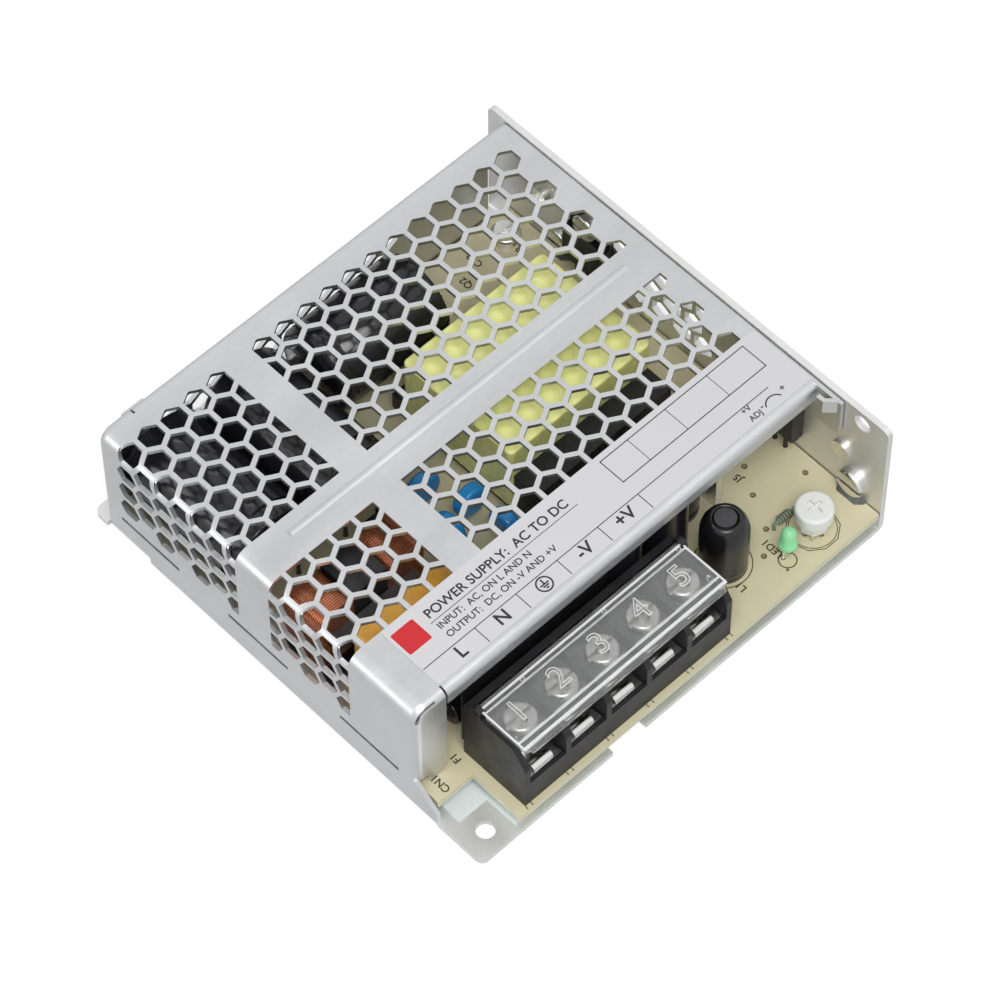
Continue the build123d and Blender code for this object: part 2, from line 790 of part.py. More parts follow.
def top_cover():
    """Folded cover: top, left wall, rear wall, front lip and left front flange in one sheet."""
    body = cover_blank(0) - cover_blank(cover_gauge)
    slit_left = cover_left + flange_width
    lip_left = slit_left + slit_width
    lip_bottom = cover_top - lip_height
    # Front: only the lip is left right of the slit, and the flange ends above the board.
    body -= block(lip_left - 0.01, cover_right + 1, cover_front - 1, cover_front + cover_gauge + 0.5,
                  -1, lip_bottom)
    body -= block(cover_right - lip_right_gap, cover_right + 1, cover_front - 1,
                  cover_front + cover_bend_ends, -1, cover_top - cover_bend_ends)
    body -= block(cover_left - 1, slit_left + 1, cover_front - 1, cover_front + cover_bend_ends,
                  -1, flange_foot_top)
    tongue_bottom = board_top + running_gap + 0.1
    tongue_radius = flange_tongue_width / 2
    tongue_x = slit_left - tongue_radius
    tongue = block(slit_left - flange_tongue_width, slit_left, cover_front, cover_front + cover_gauge,
                   tongue_bottom + tongue_radius, flange_foot_top)
    body += tongue
    body += bar_y(tongue_x, tongue_bottom + tongue_radius, cover_front, cover_front + cover_gauge,
                  tongue_radius)
    # Left wall: a foot reaches forward at the bottom, and the rear end is raised over the tab.
    foot_front = cover_front - wall_foot_reach
    foot = [(cover_front + cover_bend_ends, wall_floor_gap), (foot_front, wall_floor_gap),
            (foot_front, wall_foot_tip_height), (cover_front + 0.4, flange_foot_top),
            (cover_front + cover_bend_ends, flange_foot_top)]
    body += plate_x(foot, cover_left, cover_wall_inner)
    body -= block(cover_left - 1, cover_wall_inner + 2, cover_rear - wall_step_from_rear, cover_rear + 1,
                  -1, wall_step_height)
    for cut in end_reliefs(cover_front, 1):
        body -= cut
    for cut in end_reliefs(cover_rear, -1):
        body -= cut
    # Rear wall stands on the chassis plate and stops short of the chassis wall.
    body -= block(cover_right - rear_wall_right_gap, cover_right + 1, cover_rear - cover_bend_ends,
                  cover_rear + 1, -1, cover_top - cover_bend_ends)
    body -= block(cover_left - 1, cover_right + 1, cover_rear - cover_bend_ends, cover_rear + 1,
                  -1, base_gauge)
    # Lances hold the board's left edge down.
    for near, far in lance_spans:
        y0 = cover_front + near
        y1 = cover_front + far
        body -= block(cover_left - 1, cover_wall_inner + 1, y0, y1, lance_bottom, lance_bottom + lance_height)
        body += block(cover_wall_inner, cover_wall_inner + cover_gauge, y0 + 1, y1 - 1,
                      lance_bottom - lance_lip_height, lance_bottom)
    # Pressed bead across the solid bar
    bead_y = cross_bar_y + bead_offset
    bead_left = cover_left + bead_left_inset
    bead_right = cover_right - bead_right_inset
    bead_radius = (bead_width * bead_width / 4 + bead_height * bead_height) / (2 * bead_height)
    bead_z = cover_top + bead_height - bead_radius
    skin = block(bead_left, bead_right, bead_y - bead_width, bead_y + bead_width,
                 cover_top - bead_height, cover_top + 1)
    body += bar_x(bead_y, bead_z, bead_left, bead_right, bead_radius) & skin
    hollow = block(bead_left, bead_right, bead_y - bead_width, bead_y + bead_width,
                   cover_under, cover_top)
    groove = bar_x(bead_y, bead_z - cover_gauge, bead_left, bead_right, bead_radius) & hollow
    body -= groove
    # Vents
    top_vents = cover_vent_regions()
    for field in top_vents:
        body -= flat_vents(*field)
    for y0, y1 in sorted({(region[2], region[3]) for region in top_vents}):
        body -= wrapped_vents(y0, y1)

    def on_rear(x, z):
        return Plane(origin=(x, cover_rear, z), x_dir=(1, 0, 0), z_dir=(0, -1, 0))

    body -= whole_vents(on_rear, rear_vent_left, rear_vent_right, 2 * cover_gauge)
    # The left wall's rear flap ends in a tab that lies on the outside of the rear wall.
    flap_left = cover_left + rear_flap_start
    body += block(flap_left, cover_left + rear_flap_width, cover_rear, cover_rear + rear_flap_thickness,
                  rear_flap_low, cover_top - cover_bend_ends)
    return body + snap_tongue()


def cover_vent_regions():
    """The four vented fields of the flat top: (x0, x1, y0, y1, whole cells at the right)."""
    front = cover_front + label_strip
    rear = cover_rear - vent_rear_margin
    right = cover_right - vent_right_margin
    bar_front = cross_bar_y - cross_bar_width / 2
    bar_rear = cross_bar_y + cross_bar_width / 2
    bar_left = long_bar_x - long_bar_width / 2
    bar_right = long_bar_x + long_bar_width / 2
    left = bend_start_x - cell_across / 2
    return [(left, bar_left, front, bar_front, False), (left, bar_left, bar_rear, rear, False),
            (bar_right, right, front, bar_front, True), (bar_right, right, bar_rear, rear, True)]


def rating_label():
    """Thin label on the front strip of the top."""
    x0 = cover_left + label_left_inset
    x1 = cover_right - label_right_inset
    y0 = cover_front + cover_bend_ends + label_front_inset
    y1 = cover_front + label_strip - 0.1
    label = block(x0, x1, y0, y1, cover_top, cover_top + label_thickness)
    return round_edges(label, Axis.Z, label_corner)


def insulating_sheet():
    """White sheet between the chassis plate and the board."""
    x0 = case_left + sheet_side_inset
    x1 = wall_inner - sheet_right_inset
    y0 = case_front + sheet_front_inset
    y1 = cover_rear - cover_gauge - sheet_rear_inset
    step_x = board_left + board_notch_width
    step_y = board_front + board_notch_depth - sheet_corner_reach
    outline = [(x0, y1), (x0, step_y), (step_x, step_y), (step_x, y0), (x1, y0), (x1, y1)]
    sheet = plate_z(outline, base_gauge, base_gauge + sheet_gauge)
    for x, y in standoff_centres():
        sheet -= post(x, y, 0, board_under, standoff_radius + running_gap)
    return sheet


# Fasteners

def pan_screw_z(x, y, seat, tip):
    """Slotted pan-head screw pointing down, seated under its head."""
    head = Pos(x, y, seat + pan_head_height / 2) * Cylinder(pan_head_radius, pan_head_height)
    head = fillet(head.edges().sort_by(Axis.Z)[-1:], head_round)
    head -= block(x - pan_head_radius - 1, x + pan_head_radius + 1, y - slot_width / 2, y + slot_width / 2,
                  seat + pan_head_height - slot_depth, seat + pan_head_height + 1)
    return head + post(x, y, tip, seat, machine_screw_radius)


def pan_screw_x(y, z, seat, head_radius, head_height):
    """Slotted screw pointing +X into the wall, with its head on the inside."""
    head = Pos(seat - head_height / 2, y, z) * Rot(0, -90, 0) * Cylinder(head_radius, head_height)
    head = fillet(head.edges().sort_by(Axis.X)[:1], head_round)
    head -= block(seat - head_height - 1, seat - head_height + slot_depth, y - head_radius - 1,
                  y + head_radius + 1, z - slot_width / 2, z + slot_width / 2)
    return head + bar_x(y, z, seat, case_right, machine_screw_radius)


def wall_stud(y, z):
    """Domed stud riveted through the chassis wall."""
    rim = bar_x(y, z, wall_inner - stud_rim, wall_inner, stud_radius)
    ball = (stud_radius * stud_radius + stud_dome * stud_dome) / (2 * stud_dome)
    dome = Pos(wall_inner - stud_rim - stud_dome + ball, y, z) * Sphere(ball)
    dome &= bar_x(y, z, wall_inner - stud_rim - stud_dome, wall_inner - stud_rim, stud_radius)
    return rim + dome + bar_x(y, z, wall_inner, case_right, stud_shank_radius)


# Terminal block

def terminal_block_body():
    """Moulded block: floor, rear wall, six barriers with a sloped front top, and hinge ears."""
    body = block(block_left, block_right, block_front, block_rear, board_top, floor_top)
    body += block(block_left, block_right, block_front, block_front + block_sill_thickness, floor_top,
                  floor_top + block_sill_height)
    body += block(block_left, block_right, block_rear - block_rear_thickness, block_rear, floor_top,
                  block_top)
    barrier = [(block_front, board_top), (block_front, board_top + barrier_front_height),
               (block_front + barrier_chamfer_depth, block_top), (block_rear, block_top),
               (block_rear, board_top)]
    ear_low = block_top - ear_radius
    ear = [(flap_axis_y - ear_radius, ear_low), (flap_axis_y + ear_radius, ear_low),
           (flap_axis_y + ear_radius, flap_axis_z), (flap_axis_y - ear_radius, flap_axis_z)]
    for k in range(way_count + 1):
        x0 = block_left + k * way_pitch
        x1 = x0 + barrier_thickness
        body += plate_x(barrier, x0, x1)
        if k in (0, way_count):
            body += plate_x(ear, x0, x1)
            body += bar_x(flap_axis_y, flap_axis_z, x0, x1, ear_radius)
            body -= bar_x(flap_axis_y, flap_axis_z, x0 - 1, x1 + 1, flap_pin_radius + flap_pin_clearance)
    for x in way_centres:
        body -= post(x, terminal_screw_y, board_top + screw_well_floor, floor_top + 1,
                     terminal_screw_radius + screw_well_clearance)
        leg_y = block_rear - contact_leg_from_rear
        half = contact_leg_width / 2 + running_gap / 2
        body -= block(x - half, x + half, leg_y - half, leg_y + half, board_top - 1, floor_top + 1)
    return body


def terminal_contact(x):
    """Tinned contact on the block's floor: curled front, tapped hole and a leg through the board."""
    y0 = block_front + block_sill_thickness + running_gap / 2
    y1 = block_rear - block_rear_thickness - contact_rear_gap
    half = contact_width / 2
    body = block(x - half, x + half, y0, y1, floor_top, contact_top)
    curl_y = block_front + curl_from_front
    body += bar_x(curl_y, contact_top, x - curl_width / 2, x + curl_width / 2, curl_radius)
    leg_y = block_rear - contact_leg_from_rear
    leg_half = contact_leg_width / 2
    body += block(x - leg_half, x + leg_half, leg_y - leg_half, leg_y + leg_half, lead_end, floor_top)
    board_slots.append((x, leg_y, leg_half + lead_clearance))
    body -= post(x, terminal_screw_y, floor_top - 1, contact_top + 1,
                 terminal_screw_radius + turning_clearance)
    return body


def clamp_plate(x):
    """Square wire clamp captive under the screw head."""
    half = clamp_width / 2
    body = block(x - half, x + half, block_front + clamp_front_gap, block_rear - clamp_rear_gap,
                 clamp_under, clamp_top)
    body = round_edges(body, Axis.Z, clamp_corner)
    return body - post(x, terminal_screw_y, clamp_under - 1, clamp_top + 1,
                       terminal_screw_radius + clamp_hole_clearance)


def terminal_screw(x):
    """Terminal screw with a combined slot and cross, backed out over its clamp."""
    head = Pos(x, terminal_screw_y, clamp_top + terminal_head_height / 2)
    head = head * Cylinder(terminal_head_radius, terminal_head_height)
    head = fillet(head.edges().sort_by(Axis.Z)[-1:], head_round)
    reach = terminal_head_radius + 1
    head -= block(x - reach, x + reach, terminal_screw_y - slot_width / 2, terminal_screw_y + slot_width / 2,
                  head_top - slot_depth, head_top + 1)
    cross = terminal_head_radius * 0.5
    head -= block(x - slot_width / 2, x + slot_width / 2, terminal_screw_y - cross,
                  terminal_screw_y + cross, head_top - slot_depth, head_top + 1)
    shank_end = floor_top - terminal_shank_below
    return head + post(x, terminal_screw_y, shank_end, clamp_top, terminal_screw_radius)


def terminal_cover():
    """Clear hinged cover: a flat plate with two ribs, a rolled front lip, hinge pins and catches."""
    inner_left = block_left + barrier_thickness + running_gap
    inner_right = block_right - barrier_thickness - running_gap
    wide_left = block_left + flap_side_inset
    wide_right = block_right - flap_side_inset
    front = block_front - flap_front_overhang + flap_lip_radius
    neck = flap_axis_y - ear_radius - 2 * running_gap
    outline = [(inner_left, flap_axis_y), (inner_left, neck), (wide_left, neck), (wide_left, front),
               (wide_right, front), (wide_right, neck), (inner_right, neck), (inner_right, flap_axis_y)]
    body = plate_z(outline, flap_under, flap_top)
    front_corners = [e for e in body.edges().filter_by(Axis.Z) if e.center().Y < front + 0.01]
    body = fillet(front_corners, flap_corner)
    body += bar_x(flap_axis_y, flap_axis_z, inner_left, inner_right, flap_thickness / 2)
    body += bar_x(front, flap_axis_z, wide_left + flap_corner, wide_right - flap_corner, flap_lip_radius)
    for back in (flap_rear_rib, flap_front_rib):
        y = flap_axis_y - back
        body += block(inner_left + 0.3, inner_right - 0.3, y - flap_rib_width / 2, y + flap_rib_width / 2,
                      flap_top - 0.1, flap_top + flap_rib_height)
    for x0 in (inner_left - flap_pin_engagement, inner_right):
        body += bar_x(flap_axis_y, flap_axis_z, x0, x0 + flap_pin_engagement, flap_pin_radius)
    catch_y = block_front + catch_from_front
    for x0 in (inner_left, inner_right - catch_width):
        body += block(x0, x0 + catch_width, catch_y, catch_y + catch_depth, flap_under - catch_drop,
                      flap_under)
    return body


# Parts on the board

def trimmer_body():
    """White base of the output trimmer, with its stem and three leads."""
    x = trimmer_x
    y = board_y(trimmer_share_y)
    half = trimmer_base_size / 2
    top = board_top + trimmer_base_height
    body = block(x - half, x + half, y - half, y + half, board_top, top)
    body = round_edges(body, Axis.Z, trimmer_base_corner)
    body += post(x, y, top, top + trimmer_knob_gap + trimmer_knob_height / 2, trimmer_stem_radius)
    for dx, dy in ((-trimmer_lead_spread, 0), (trimmer_lead_spread, 0), (0, -trimmer_lead_spread)):
        body += lead(x + dx, y + dy, board_top)
    return body


def trimmer_knob():
    """Round knob of the trimmer with a cross recess."""
    x = trimmer_x
    y = board_y(trimmer_share_y)
    low = board_top + trimmer_base_height + trimmer_knob_gap
    high = low + trimmer_knob_height
    knob = Pos(x, y, (low + high) / 2) * Cylinder(trimmer_knob_radius, trimmer_knob_height)
    knob = fillet(knob.edges().sort_by(Axis.Z)[-1:], trimmer_knob_round)
    knob -= post(x, y, low - 1, low + trimmer_knob_height / 2 + turning_clearance,
                 trimmer_stem_radius + turning_clearance)
    span = trimmer_recess_span / 2
    half = trimmer_recess_width / 2
    knob -= block(x - span, x + span, y - half, y + half, high - trimmer_recess_depth, high + 1)
    knob -= block(x - half, x + half, y - span, y + span, high - trimmer_recess_depth, high + 1)
    return knob


def led_lens():
    """Green lamp: flange, body and dome."""
    x = lamp_x
    y = board_y(lamp_share_y)
    low = board_top + lamp_rise
    lens = post(x, y, low, low + lamp_flange_height, lamp_flange_radius)
    lens += post(x, y, low, low + lamp_body_height, lamp_radius)
    return lens + Pos(x, y, low + lamp_body_height) * Sphere(lamp_radius)


def led_leads():
    """Two lamp leads from the lens down through the board."""
    x = lamp_x
    y = board_y(lamp_share_y)
    low = board_top + lamp_rise
    left = lead(x - lamp_lead_spread, y, low, lamp_lead_radius)
    right = lead(x + lamp_lead_spread, y, low, lamp_lead_radius)
    return Compound(children=[left, right])


def sense_resistor():
    """Small resistor lying beside the trimmer on two leads."""
    x = resistor_x
    y = board_y(resistor_share_y)
    z = board_top + resistor_rise
    half = resistor_length / 2
    body = bar_x(y, z, x - half, x + half, resistor_radius)
    body = fillet(body.edges().filter_by(GeomType.CIRCLE), resistor_round)
    reach = half + 3 * lamp_lead_radius
    body += bar_x(y, z, x - reach, x + reach, lamp_lead_radius)
    body += lead(x - reach, y, z + lamp_lead_radius, lamp_lead_radius)
    return body + lead(x + reach, y, z + lamp_lead_radius, lamp_lead_radius)


def output_choke_parts():
    """Drum core of the output choke, and the shrink sleeve around it."""
    x = output_choke_x
    y = board_y(output_choke_share_y)
    base = board_top + output_choke_base
    top = board_top + output_choke_height
    shoulder = top - output_choke_cone
    core_radius = output_choke_radius - output_choke_sleeve_wall
    core = post(x, y, base, shoulder, core_radius)
    core += post(x, y, shoulder, top, output_choke_neck_radius)
    core += lead(x - core_radius / 2, y, base)
    core += lead(x + core_radius / 2, y, base)
    neck = output_choke_neck_radius
    profile = [(core_radius, board_top), (output_choke_radius, board_top), (output_choke_radius, shoulder),
               (neck + output_choke_roll, top), (neck, top - output_choke_roll / 3), (neck, shoulder),
               (core_radius, shoulder)]
    return core, turned(profile, x, y)


def output_heatsink():
    """Upright aluminium plate standing on two feet."""
    half = heatsink_length / 2
    reach = heatsink_thickness / 2
    body = block(heatsink_x - reach, heatsink_x + reach, heatsink_y - half, heatsink_y + half, board_top,
                 board_top + heatsink_height)
    body += lead(heatsink_x, heatsink_y - half / 2, board_top)
    return body + lead(heatsink_x, heatsink_y + half / 2, board_top)


def transformer_span():
    """Left, right, front and rear of the taped transformer."""
    half_x = transformer_width / 2
    half_y = transformer_depth / 2
    return (transformer_x - half_x, transformer_x + half_x, transformer_y - half_y, transformer_y + half_y)


def transformer_wrap():
    """Yellow tape over the core's top and sides."""
    x0, x1, y0, y1 = transformer_span()
    low = board_top + bobbin_base
    high = board_top + transformer_height
    outer = round_edges(block(x0, x1, y0, y1, low, high), Axis.Z, transformer_corner)
    outer = fillet(outer.faces().sort_by(Axis.Z)[-1].edges(), transformer_tape)
    t = transformer_tape
    return outer - block(x0 + t, x1 - t, y0 + t, y1 - t, low - 1, high - t)


def transformer_core():
    """Ferrite and windings under the tape."""
    x0, x1, y0, y1 = transformer_span()
    t = transformer_tape
    return block(x0 + t, x1 - t, y0 + t, y1 - t, board_top + bobbin_base, board_top + transformer_height - t)


def transformer_bobbin():
    """Bobbin base with a tall pin terrace in front and a low one behind."""
    x0, x1, y0, y1 = transformer_span()
    side = bobbin_side_inset
    base_top = board_top + bobbin_base
    body = block(x0 + side, x1 - side, y0, y1, board_top, base_top)
    front = y0 - bobbin_terrace_depth
    body += block(x0 + side, x1 - side, front, y0, board_top, board_top + bobbin_terrace_height)
    rear = y1 + bobbin_rear_depth
    body += block(x0 + side, x1 - side, y1, rear, board_top, board_top + bobbin_rear_height)
    middle = (x0 + x1) / 2
    for k in range(bobbin_pin_count):
        x = middle + (k - (bobbin_pin_count - 1) / 2) * bobbin_pin_pitch
        body += lead(x, front + bobbin_terrace_depth / 3, board_top)
        body += lead(x, rear - bobbin_rear_depth / 3, board_top)
    return body


def x_capacitor():
    """Amber film capacitor in a moulded box."""
    half = film_width / 2
    body = block(film_x - half, film_x + half, film_y - film_depth / 2, film_y + film_depth / 2, board_top,
                 board_top + film_height)
    body = fillet(body.edges().filter_by(Axis.Z) + body.faces().sort_by(Axis.Z)[-1].edges(), film_round)
    body += lead(film_x - film_lead_spread, film_y, board_top)
    return body + lead(film_x + film_lead_spread, film_y, board_top)


def line_choke_frame():
    """Plan centre, front and rear of the line choke, and the height of its legs."""
    front = line_choke_y - winding_length / 2
    rear = line_choke_y + winding_length / 2
    leg_z = board_top + line_base_height + winding_height / 2
    return line_choke_x, front, rear, leg_z


def line_choke_core():
    """Ferrite loop: two legs through the windings and two yokes across their ends."""
    x, front, rear, leg_z = line_choke_frame()
    half = line_leg_size / 2
    reach = winding_spread + half
    body = block(x - reach, x + reach, front - line_yoke_thickness, front, leg_z - half, leg_z + half)
    body += block(x - reach, x + reach, rear, rear + line_yoke_thickness, leg_z - half, leg_z + half)
    for leg_x in (x - winding_spread, x + winding_spread):
        body += block(leg_x - half, leg_x + half, front, rear, leg_z - half, leg_z + half)
    return body


def line_choke_bobbin():
    """Bobbin: a base plate with four leads and a post between the windings."""
    x, front, rear, leg_z = line_choke_frame()
    reach = winding_spread + winding_width / 2
    base_top = board_top + line_base_height
    body = block(x - reach, x + reach, front - line_yoke_thickness, rear + line_yoke_thickness, board_top,
                 base_top)
    inner = winding_spread - winding_width / 2 - running_gap
    body += block(x - inner, x + inner, front + running_gap, rear - running_gap, base_top,
                  board_top + line_base_height + line_post_height)
    for dx in (-winding_spread, winding_spread):
        body += lead(x + dx, front, board_top)
        body += lead(x + dx, rear, board_top)
    return body


def line_winding(side):
    """One copper winding around a leg of the line choke."""
    x, front, rear, leg_z = line_choke_frame()
    leg_x = x + side * winding_spread
    base_top = board_top + line_base_height
    body = block(leg_x - winding_width / 2, leg_x + winding_width / 2, front, rear, base_top,
                 base_top + winding_height)
    body = round_edges(body, Axis.Y, winding_round)
    half = line_leg_size / 2
    return body - block(leg_x - half, leg_x + half, front - 1, rear + 1, leg_z - half, leg_z + half)


def bulk_capacitor(x):
    """Electrolytic can lying along Y, with two leads bent down at its front end."""
    z = board_top + bulk_float + bulk_radius
    front = bulk_y - bulk_length / 2
    body = bar_y(x, z, front, front + bulk_length, bulk_radius)
    body = fillet(body.edges().filter_by(GeomType.CIRCLE), can_rim_round)
    groove = bar_y(x, z, front + bulk_groove, front + bulk_groove + 1, bulk_radius + 1)
    body -= groove - bar_y(x, z, front, front + 2 * bulk_groove, bulk_radius - bulk_groove_depth)
    for dx in (-bulk_lead_spread, bulk_lead_spread):
        body += bar_y(x + dx, z, front - bulk_lead_reach, front + 0.5, lead_radius)
        body += lead(x + dx, front - bulk_lead_reach, z + lead_radius)
    return body


def output_capacitor(x, y, radius):
    """Upright electrolytic can with a rolled groove near its base."""
    can = Pos(x, y, board_top + output_capacitor_height / 2) * Cylinder(radius, output_capacitor_height)
    can = fillet(can.edges().filter_by(GeomType.CIRCLE), can_rim_round)
    low = board_top + can_groove_from_base
    ring = post(x, y, low, low + can_groove_width, radius + 1)
    ring -= post(x, y, low - 1, low + can_groove_width + 1, radius - can_groove_depth)
    can -= ring
    can += lead(x - can_lead_spread, y, board_top + 0.2)
    return can + lead(x + can_lead_spread, y, board_top + 0.2)


def disc_part(x, y, radius, thickness, along_x):
    """Upright disc with rounded rim on two leads."""
    z = board_top + disc_rise + radius
    if along_x:
        disc = bar_x(y, z, x - thickness / 2, x + thickness / 2, radius)
    else:
        disc = bar_y(x, z, y - thickness / 2, y + thickness / 2, radius)
    disc = fillet(disc.edges().filter_by(GeomType.CIRCLE), disc_round)
    reach = radius * 0.6
    if along_x:
        return disc + lead(x, y - reach, z) + lead(x, y + reach, z)
    return disc + lead(x - reach, y, z) + lead(x + reach, y, z)


def fuse():
    """Sleeved fuse lying along X on two leads."""
    z = board_top + fuse_rise + fuse_radius
    half = fuse_length / 2
    body = bar_x(fuse_y, z, fuse_x - half, fuse_x + half, fuse_radius)
    body = fillet(body.edges().filter_by(GeomType.CIRCLE), fuse_round)
    reach = half + fuse_lead_reach
    body += bar_x(fuse_y, z, fuse_x - reach, fuse_x + reach, lead_radius)
    body += lead(fuse_x - reach, fuse_y, z + lead_radius)
    return body + lead(fuse_x + reach, fuse_y, z + lead_radius)


def bridge_rectifier():
    """Flat bridge rectifier on four leads."""
    low = board_top + bridge_rise
    body = block(bridge_x - bridge_width / 2, bridge_x + bridge_width / 2, bridge_y - bridge_depth / 2,
                 bridge_y + bridge_depth / 2, low, low + bridge_height)
    body = chamfer(body.faces().sort_by(Axis.Z)[-1].edges(), bridge_chamfer)
    spread_x = bridge_width / 2 - bridge_lead_inset
    spread_y = bridge_depth / 2 - bridge_lead_inset
    for dx in (-spread_x, spread_x):
        for dy in (-spread_y, spread_y):
            body += lead(bridge_x + dx, bridge_y + dy, low)
    return body


def wall_device(centre_y):
    """Power device standing against the wall: tab, moulded body and three leads."""
    back = wall_inner - device_pad_gap
    y0 = centre_y - device_width / 2
    y1 = centre_y + device_width / 2
    body_top = device_bottom + device_body_height
    body = block(back - device_body_thickness, back, y0, y1, device_bottom, body_top)
    body = chamfer(body.edges().filter_by(Axis.Y).sort_by(Axis.X)[:2], device_chamfer)
    tab = block(back - device_tab_thickness, back, y0, y1, body_top, body_top + device_tab_height)
    tab -= bar_x(centre_y, device_screw_height, back - 3, back + 1, machine_screw_radius + thread_clearance)
    body += tab
    middle = back - device_body_thickness / 2
    for k in (-1, 0, 1):
        body += lead(middle, centre_y + k * device_lead_pitch, device_bottom)
    return body


def transistor_screws():
    """The two screws that bolt the power devices to the wall."""
    seat = wall_inner - device_pad_gap - device_tab_thickness
    screws = [pan_screw_x(board_y(share), device_screw_height, seat, pan_head_radius, pan_head_height)
              for share in (rectifier_place_y, switch_place_y)]
    return Compound(children=screws)


def screw_pocket(y):
    """Board cut-out that clears the head of a wall screw."""
    depth = wall_screw_head_height + screw_pocket_side
    half = wall_screw_head_radius + screw_pocket_side
    x0 = wall_inner - depth
    c = screw_pocket_chamfer
    outline = [(board_right + 1, y - half), (x0 + c, y - half), (x0, y - half + c), (x0, y + half - c),
               (x0 + c, y + half), (board_right + 1, y + half)]
    return plate_z(outline, board_under - 1, board_top + 1)


def circuit_board():
    """Board with its corner notch, screw pockets, screw holes and lead holes."""
    notch_x = board_left + board_notch_width
    notch_y = board_front + board_notch_depth
    outline = [(notch_x, board_front), (board_right, board_front), (board_right, board_rear),
               (board_left, board_rear), (board_left, notch_y), (notch_x, notch_y)]
    body = plate_z(outline, board_under, board_top)
    body -= screw_pocket(front_screw_y)
    body -= screw_pocket(rear_screw_y)
    cuts = [post(x, y, board_under - 1, board_top + 1, machine_screw_radius + running_gap)
            for x, y in standoff_centres()]
    for u, v in spare_hole_places:
        cuts.append(post(board_x(u), board_y(v), board_under - 1, board_top + 1, lead_radius))
    for x, y, radius in board_holes:
        cuts.append(post(x, y, board_under - 1, board_top + 1, radius))
    for x, y, half in board_slots:
        cuts.append(block(x - half, x + half, y - half, y + half, board_under - 1, board_top + 1))
    return body - cuts


# Every piece by name

def build():
    """Make every piece and return them by name."""
    parts = {}
    parts["base_chassis"] = base_chassis()
    parts["top_cover"] = top_cover()
    parts["rating_label"] = rating_label()
    parts["insulating_sheet"] = insulating_sheet()
    for k, (x, y) in enumerate(standoff_centres(), start=1):
        parts[f"board_screw_{k}"] = pan_screw_z(x, y, board_top, board_screw_tip)
    parts["wall_screw_front"] = pan_screw_x(front_screw_y, front_screw_height, wall_inner,
                                            wall_screw_head_radius, wall_screw_head_height)
    parts["wall_screw_rear"] = pan_screw_x(rear_screw_y, rear_screw_height, wall_inner,
                                           wall_screw_head_radius, wall_screw_head_height)
    parts["wall_stud_front"] = wall_stud(front_stud_y, front_stud_height)
    parts["wall_stud_rear"] = wall_stud(rear_stud_y, rear_stud_height)
    parts["terminal_block_body"] = terminal_block_body()
    parts["terminal_cover"] = terminal_cover()
    for k, x in enumerate(way_centres, start=1):
        parts[f"terminal_contact_{k}"] = terminal_contact(x)
        parts[f"clamp_plate_{k}"] = clamp_plate(x)
        parts[f"terminal_screw_{k}"] = terminal_screw(x)
    parts["trimmer_body"] = trimmer_body()
    parts["trimmer_knob"] = trimmer_knob()
    parts["led_lens"] = led_lens()
    parts["led_leads"] = led_leads()
    parts["sense_resistor"] = sense_resistor()
    parts["output_choke_core"], parts["output_choke_sleeve"] = output_choke_parts()
    parts["output_heatsink"] = output_heatsink()
    parts["transformer_wrap"] = transformer_wrap()
    parts["transformer_core"] = transformer_core()
    parts["transformer_bobbin"] = transformer_bobbin()
    parts["x_capacitor"] = x_capacitor()
    parts["line_choke_core"] = line_choke_core()
    parts["line_choke_bobbin"] = line_choke_bobbin()
    parts["line_winding_left"] = line_winding(-1)
    parts["line_winding_right"] = line_winding(1)
    for k, x in enumerate(bulk_x, start=1):
        parts[f"bulk_capacitor_{k}"] = bulk_capacitor(x)
    parts["output_capacitor_1"] = output_capacitor(first_can_x, can_y, can_radius)
    parts["output_capacitor_2"] = output_capacitor(second_can_x, can_y, pair_radius)
    parts["output_capacitor_3"] = output_capacitor(third_can_x, third_can_y, third_radius)
    discs = [(rear_disc_x, rear_disc_y, False), (middle_discs_x[0], middle_disc_y + second_disc_step_y, True),
             (middle_discs_x[1], middle_disc_y, False), (front_disc_x, front_disc_y, True)]
    for k, (x, y, along_x) in enumerate(discs, start=1):
        parts[f"y_capacitor_{k}"] = disc_part(x, y, y_capacitor_radius, y_capacitor_thickness, along_x)
    parts["thermistor"] = disc_part(thermistor_x, thermistor_y, thermistor_radius, thermistor_thickness, True)
    parts["fuse"] = fuse()
    parts["bridge_rectifier"] = bridge_rectifier()
    parts["output_rectifier"] = wall_device(board_y(rectifier_place_y))
    parts["switching_transistor"] = wall_device(board_y(switch_place_y))
    parts["transistor_screws"] = transistor_screws()
    parts["circuit_board"] = circuit_board()
    return parts


os.makedirs("parts", exist_ok=True)
for name, solid in build().items():
    export_step(solid, f"parts/{name}.step")
    print(f"{name}: {len(solid.solids())} solid(s), {solid.volume:.1f} mm3")
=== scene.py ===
# %% [markdown]
